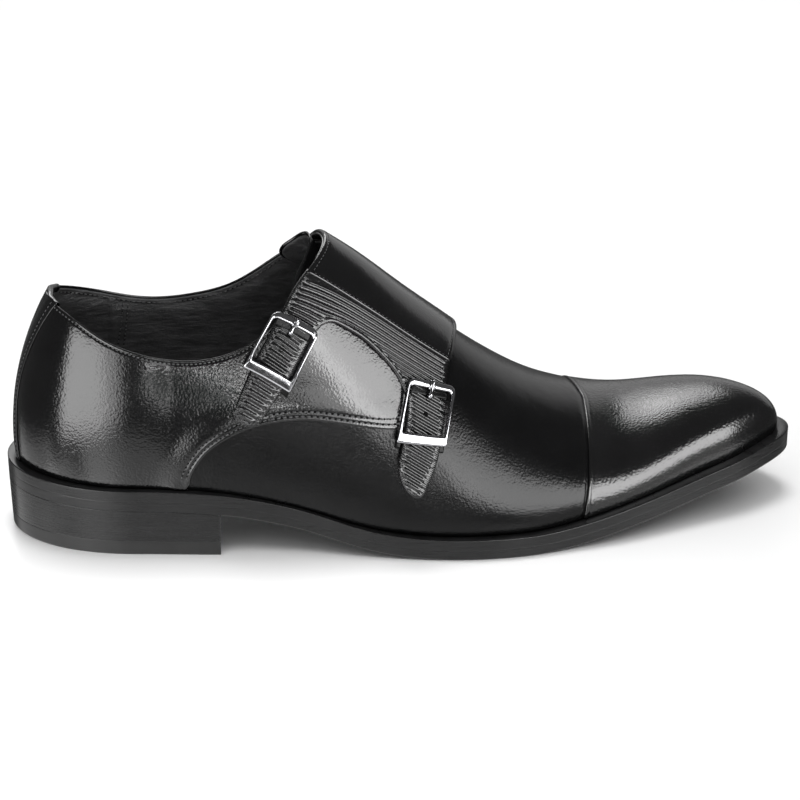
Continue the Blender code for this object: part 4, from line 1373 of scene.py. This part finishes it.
def build_heel(leather, rubber):
    """The lifts up to the outsole, and the rubber top piece under them."""
    def ring(inset, height):
        flat = heel_outline(inset)
        return stack(flat[:, 0], flat[:, 1], height(flat[:, 0]))

    low = HEEL_TAPER * 0.7
    loops = [ring(inset, lambda x, share=share: mix(underside(x) - 0.005, TOP_PIECE + 0.01, share))
             for inset, share in (
                 (0.8, 0.0), (JOINT, 0.0), (0.0, 0.004), (0.0, 0.04), (low * 0.3, 0.3),
                 (low * 0.5, 0.5), (low * 0.7, 0.7), (low, 0.96), (low, 0.99), (low + 0.03, 1.0),
                 (0.9, 1.0))]
    turned_slab("heel_lifts", loops, leather, ("heel_stack",))
    low += 0.02
    loops = [ring(inset, lambda x, height=height: height + 0 * x) for inset, height in (
        (0.9, TOP_PIECE), (low + 0.03, TOP_PIECE), (low, TOP_PIECE - 0.07),
        (low, TOP_PIECE - 0.4), (HEEL_TAPER, 0.8), (HEEL_TAPER, 0.5), (HEEL_TAPER + 0.12, 0.15),
        (HEEL_TAPER + 0.5, 0.0))]
    turned_slab("heel_top_rubber", loops, rubber, ("heel_top_piece",))


# Finishes
class Value:
    """A socket of a material that can be added to, taken from and multiplied."""

    def __init__(self, finish, socket):
        self.finish = finish
        self.socket = socket

    def worked(self, operation, first, second):
        return self.finish.node("ShaderNodeMath", {"operation": operation},
                                {0: first, 1: second})

    def __add__(self, other):
        return self.worked("ADD", self, other)

    def __radd__(self, other):
        return self.worked("ADD", other, self)

    def __sub__(self, other):
        return self.worked("SUBTRACT", self, other)

    def __rsub__(self, other):
        return self.worked("SUBTRACT", other, self)

    def __mul__(self, other):
        return self.worked("MULTIPLY", self, other)

    def __rmul__(self, other):
        return self.worked("MULTIPLY", other, self)


class Finish:
    """A material, its even settings and the one way that its nodes are made."""

    def __init__(self, name, **even):
        self.material = bpy.data.materials.new(name)
        self.material.use_nodes = True
        self.tree = self.material.node_tree
        self.shader = self.tree.nodes["Principled BSDF"]
        for key, value in even.items():
            socket = key.replace("_", " ").title().replace("Ior", "IOR")
            self.shader.inputs[socket].default_value = value

    def node(self, kind, settings=None, values=None, output=0):
        made = self.tree.nodes.new(kind)
        for key, value in (settings or {}).items():
            setattr(made, key, value)
        for key, value in (values or {}).items():
            if isinstance(value, Value):
                self.tree.links.new(value.socket, made.inputs[key])
            else:
                made.inputs[key].default_value = value
        return Value(self, made.outputs[output])

    def place(self, scale=(1, 1, 1)):
        """Position on the object, in metres times scale."""
        where = self.node("ShaderNodeTexCoord", output="Object")
        return self.node("ShaderNodeMapping", values={"Vector": where, "Scale": scale})

    def noise(self, where, size, detail=2.0, rough=0.5):
        """Noise of this feature size in millimetres."""
        return self.node("ShaderNodeTexNoise", values={
            "Vector": where, "Scale": 1000 / size, "Detail": detail, "Roughness": rough})

    def between(self, value, low, high):
        """0 to 1 as value goes from low to high."""
        return self.node("ShaderNodeMapRange", values={
            "Value": value, "From Min": low, "From Max": high, "To Min": 0.0, "To Max": 1.0})

    def tint(self, share, first, second, tone=1.0):
        """A colour between two, each given as its red and green level and its blue level."""
        first, second = ((a * tone, a * tone, b * tone, 1) for a, b in (first, second))
        return self.node("ShaderNodeMix", {"data_type": "RGBA"}, {0: share, 6: first, 7: second},
                         2)

    def relief(self, height, depth, strength=1.0, under=None):
        """Bump of this depth in millimetres, over another where there is one."""
        values = {"Height": height, "Distance": depth * MM, "Strength": strength}
        if under is not None:
            values["Normal"] = under
        return self.node("ShaderNodeBump", values=values)

    def made(self, colour=None, roughness=None, normal=None):
        """The finished material, with what changes over its surface."""
        for name, value in (("Base Color", colour), ("Roughness", roughness),
                            ("Normal", normal)):
            if value is not None:
                self.tree.links.new(value.socket, self.shader.inputs[name])
        return self.material


def calf_finish(name, grain=1.0, rough=0.12, tone=1.0, shine=0.6, wave=0.4):
    """Polished black calf: fine grain, slight waviness, uneven polish."""
    finish = Finish(name, ior=1.5, specular_ior_level=shine)
    where = finish.place()
    pores = finish.node("ShaderNodeTexVoronoi", {"feature": "SMOOTH_F1"},
                        {"Vector": where, "Scale": 1000 / 0.92, "Smoothness": 0.4})
    fine = finish.noise(where, 0.82, 1.0)
    broad = finish.noise(where, 15.0, 3.0)
    cloud = finish.noise(where, 38.0)
    share = finish.between(broad * 0.6 + cloud * 0.4, 0.35, 0.7)
    return finish.made(finish.tint(share, (0.0032, 0.0034), (0.006, 0.0063), tone),
                       rough - 0.06 + 0.1 * broad + 0.06 * fine,
                       finish.relief(pores * 0.4 + fine, 0.054 * grain,
                                     under=finish.relief(broad, wave, 0.3)))


def lining_finish():
    """Soft black lining leather, creased along the shoe."""
    finish = Finish("black_lining_leather", ior=1.45, specular_ior_level=0.4)
    crease = finish.noise(finish.place((0.45, 0.45, 1.6)), 5.0, 5.0, 0.62)
    fine = finish.noise(finish.place(), 0.8, 3.0, 0.6)
    return finish.made(finish.tint(finish.between(crease, 0.35, 0.7), (0.045, 0.046),
                                   (0.1, 0.102)),
                       0.4 + 0.16 * fine,
                       finish.relief(fine, 0.12, under=finish.relief(crease, 0.9, 0.8)))


def edge_finish(name, tone=1.0, rough=0.28):
    """Inked and burnished leather edges: streaks along the layers."""
    finish = Finish(name, ior=1.5, specular_ior_level=0.36)
    layers = finish.noise(finish.place((0.05, 0.05, 1.0)), 0.7, 4.0, 0.65)
    wear = finish.noise(finish.place(), 9.0, 4.0, 0.6)
    share = finish.between(layers * 0.6 + wear * 0.4, 0.35, 0.72)
    return finish.made(finish.tint(share, (0.006, 0.0062), (0.018, 0.0185), tone),
                       rough - 0.06 + 0.14 * layers,
                       finish.relief(layers, 0.06, 0.8, finish.relief(wear, 0.2, 0.25)))


def rubber_finish():
    finish = Finish("black_heel_rubber", ior=1.5, specular_ior_level=0.4)
    where = finish.place()
    fine = finish.noise(where, 0.6, 4.0, 0.6)
    share = finish.between(finish.noise(where, 8.0, 3.0), 0.3, 0.7)
    return finish.made(finish.tint(share, (0.008, 0.008), (0.015, 0.015)), 0.3 + 0.12 * fine,
                       finish.relief(fine, 0.03, 0.8))


def thread_finish():
    """Waxed black thread, its two plies twisted."""
    finish = Finish("waxed_black_thread", ior=1.5, base_color=(0.1, 0.1, 0.102, 1))
    ply = finish.node("ShaderNodeTexWave", {"wave_type": "BANDS", "bands_direction": "DIAGONAL"},
                      {"Vector": finish.place(), "Scale": 900.0, "Distortion": 1.5})
    return finish.made(roughness=0.3 + 0.15 * ply, normal=finish.relief(ply, 0.05, 0.8))


def hole_shade_finish():
    """Painted shade for a punched hole: a near-black, dull surface stands in for the shadow inside
    it.
    """
    finish = Finish("punched_hole_painted_shade", roughness=0.9, specular_ior_level=0.1)
    return finish.made(finish.tint(finish.noise(finish.place(), 0.3), (0.001, 0.001),
                                   (0.004, 0.004)))


def metal_finish():
    """Polished dark chrome with faint rub marks."""
    finish = Finish("polished_dark_chrome", metallic=1.0)
    marks = finish.noise(finish.place((1, 6, 1)), 1.2, 4.0, 0.7)
    smudge = finish.noise(finish.place(), 6.0, 3.0)
    return finish.made(finish.tint(smudge, (0.36, 0.375), (0.46, 0.475)),
                       0.06 + 0.1 * finish.between(marks * smudge, 0.15, 0.5),
                       finish.relief(marks, 0.01, 0.4))


def insole_finish():
    finish = Finish("black_insole_leather", ior=1.45)
    where = finish.place()
    fine = finish.noise(where, 0.9, 4.0, 0.6)
    return finish.made(finish.tint(finish.noise(where, 16.0, 3.0), (0.012, 0.0125),
                                   (0.026, 0.027)),
                       0.45 + 0.15 * fine, finish.relief(fine, 0.06, 0.8))


def floor_finish():
    finish = Finish("white_floor", roughness=0.28, specular_ior_level=0.35)
    return finish.made(finish.tint(finish.noise(finish.place(), 400.0), (0.93, 0.93),
                                   (0.95, 0.95)))


# Camera, floor and light
def aimed(thing, azimuth, elevation, distance, centre):
    """Puts a camera or a light at a distance from a centre and turns it there.

    Azimuth 0 is in front of the shoe's outer side, 90 is at the toe.
    """
    a, e = math.radians(azimuth), math.radians(elevation)
    away = Vector((math.sin(a) * math.cos(e), -math.cos(a) * math.cos(e), math.sin(e)))
    bpy.context.scene.collection.objects.link(thing)
    thing.location = Vector(centre) + away * distance
    thing.rotation_mode = "QUATERNION"
    thing.rotation_quaternion = (-away).to_track_quat("-Z", "Y")
    return thing


def build_camera():
    data = bpy.data.cameras.new("view")
    data.lens = 115.2
    data.sensor_width = 36.0
    data.clip_start = 0.05
    target = ((153.0 - CENTRE[0]) * MM, -CENTRE[1] * MM, 0.044)
    bpy.context.scene.camera = aimed(bpy.data.objects.new("view", data), -6.2, 27.0, 1.0, target)


def softbox(name, azimuth, elevation, distance, width, height, power, centre=(0, 0, 0.05)):
    """A soft light that faces the shoe."""
    data = bpy.data.lights.new(name, "AREA")
    data.shape = "RECTANGLE"
    data.size = width
    data.size_y = height
    data.energy = power
    light = aimed(bpy.data.objects.new(name, data), azimuth, elevation, distance, centre)
    light.visible_camera = False
    return light


# Cards that show only as reflections in the polish: azimuth, elevation, distance, width, height,
# power
CARDS = (
    ("left_softbox", -43.5, -5.5, 1.2, 0.76, 0.62, 4.9),
    ("left_softbox_core", -47, -5.5, 1.2, 0.56, 0.62, 2.9),
    ("right_softbox", 33, 15, 1.2, 1.0, 0.74, 20.0),
    ("right_softbox_edge", 7, 17, 1.2, 0.46, 0.6, 2.8),
    ("topline_card", -8.5, 1, 1.2, 0.1, 0.07, 0.4),
    ("side_card", -10.5, -9.5, 1.2, 0.08, 0.13, 0.16),
    ("front_card", 3, -12, 1.2, 0.4, 0.5, 0.28),
    ("low_right_card", 42, -13, 1.2, 0.7, 0.44, 0.7),
    ("bounce_back", -96, -34, 1.2, 1.0, 0.48, 1.35),
    ("bounce_left", -50, -34, 1.2, 1.05, 0.48, 0.75),
    ("bounce_bright", -39, -33, 1.2, 0.3, 0.44, 0.6),
    ("bounce_front", -3, -34, 1.2, 1.05, 0.48, 1.25),
    ("bounce_right", 44, -34, 1.2, 1.05, 0.48, 1.15),
    ("bounce_low", 0, -89, 0.45, 1.6, 0.9, 4.6),
    ("back_softbox", 185, 38, 1.3, 0.9, 0.52, 5.4),
    ("back_softbox_core", 192, 38, 1.3, 0.62, 0.5, 2.3),
    ("backdrop", 165, 12, 1.6, 3.4, 0.8, 5.5),
)


def build_stage():
    """White floor, cards for the reflections, and lights for the floor and its shadow."""
    mesh = bpy.data.meshes.new("floor")
    size = 12.0
    mesh.from_pydata([(-size, -size, 0), (size, -size, 0), (size, size, 0), (-size, size, 0)],
                     [], [(0, 1, 2, 3)])
    mesh.materials.append(floor_finish())
    floor = bpy.data.objects.new("floor", mesh)
    bpy.context.scene.collection.objects.link(floor)
    floor.visible_glossy = False
    floor.visible_shadow = False
    world = bpy.data.worlds.new("studio")
    bpy.context.scene.world = world
    world.use_nodes = True
    sky = world.node_tree.nodes["Background"].inputs
    sky["Color"].default_value = (1, 1, 1, 1)
    sky["Strength"].default_value = 0.12
    for card in CARDS:
        softbox(*card).visible_diffuse = False
    fill = softbox("floor_fill", 0, 89, 0.26, 0.2, 0.1, 0.075, (-0.085, -0.13, 0))
    fill.data.spread = math.radians(74)
    for light in (softbox("overhead", 175, 78, 4.0, 1.3, 1.3, 75.0),
                  softbox("overhead_fill", 0, 89, 3.0, 8.0, 8.0, 162.0), fill):
        light.visible_glossy = False
    bpy.context.scene.view_settings.view_transform = "Standard"


def main():
    calf = calf_finish("polished_black_calf")
    lining = lining_finish()
    metal = metal_finish()
    hole = hole_shade_finish()
    build_quarter(LATERAL, "quarter_lateral", calf)
    build_quarter(MEDIAL, "quarter_medial", calf)
    build_vamp(calf_finish("vamp_black_calf", 1.4, 0.2, 1.0, 0.24, 0.9))
    build_toe_cap(calf_finish("cap_black_calf", 1.9, 0.165, 1.0, 0.66))
    build_lining(lining)
    build_back_strip(calf)
    build_flap(calf, calf_finish("ribbed_black_calf", 1.0, 0.18, 1.3))
    build_tongue(calf, lining)
    # The keeper and the buckle tabs take a darker, duller copy of the calf: painted shade under the
    # buckle's top bar
    keeper = calf_finish("keeper_calf_painted_shade", 1.0, 0.28, 0.8, 0.15)
    for name, corners in (("rear", REAR_BUCKLE), ("front", FRONT_BUCKLE)):
        build_buckle(name, corners, metal, keeper, hole)
    build_sole(edge_finish("waxed_black_edge"), edge_finish("burnished_heel_lifts", 0.9, 0.26),
               rubber_finish())
    lay_threads(thread_finish())
    paint_hole_shade(hole)
    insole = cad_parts["insole"]
    insole.data.materials.clear()
    insole.data.materials.append(insole_finish())
    build_stage()
    build_camera()


main()
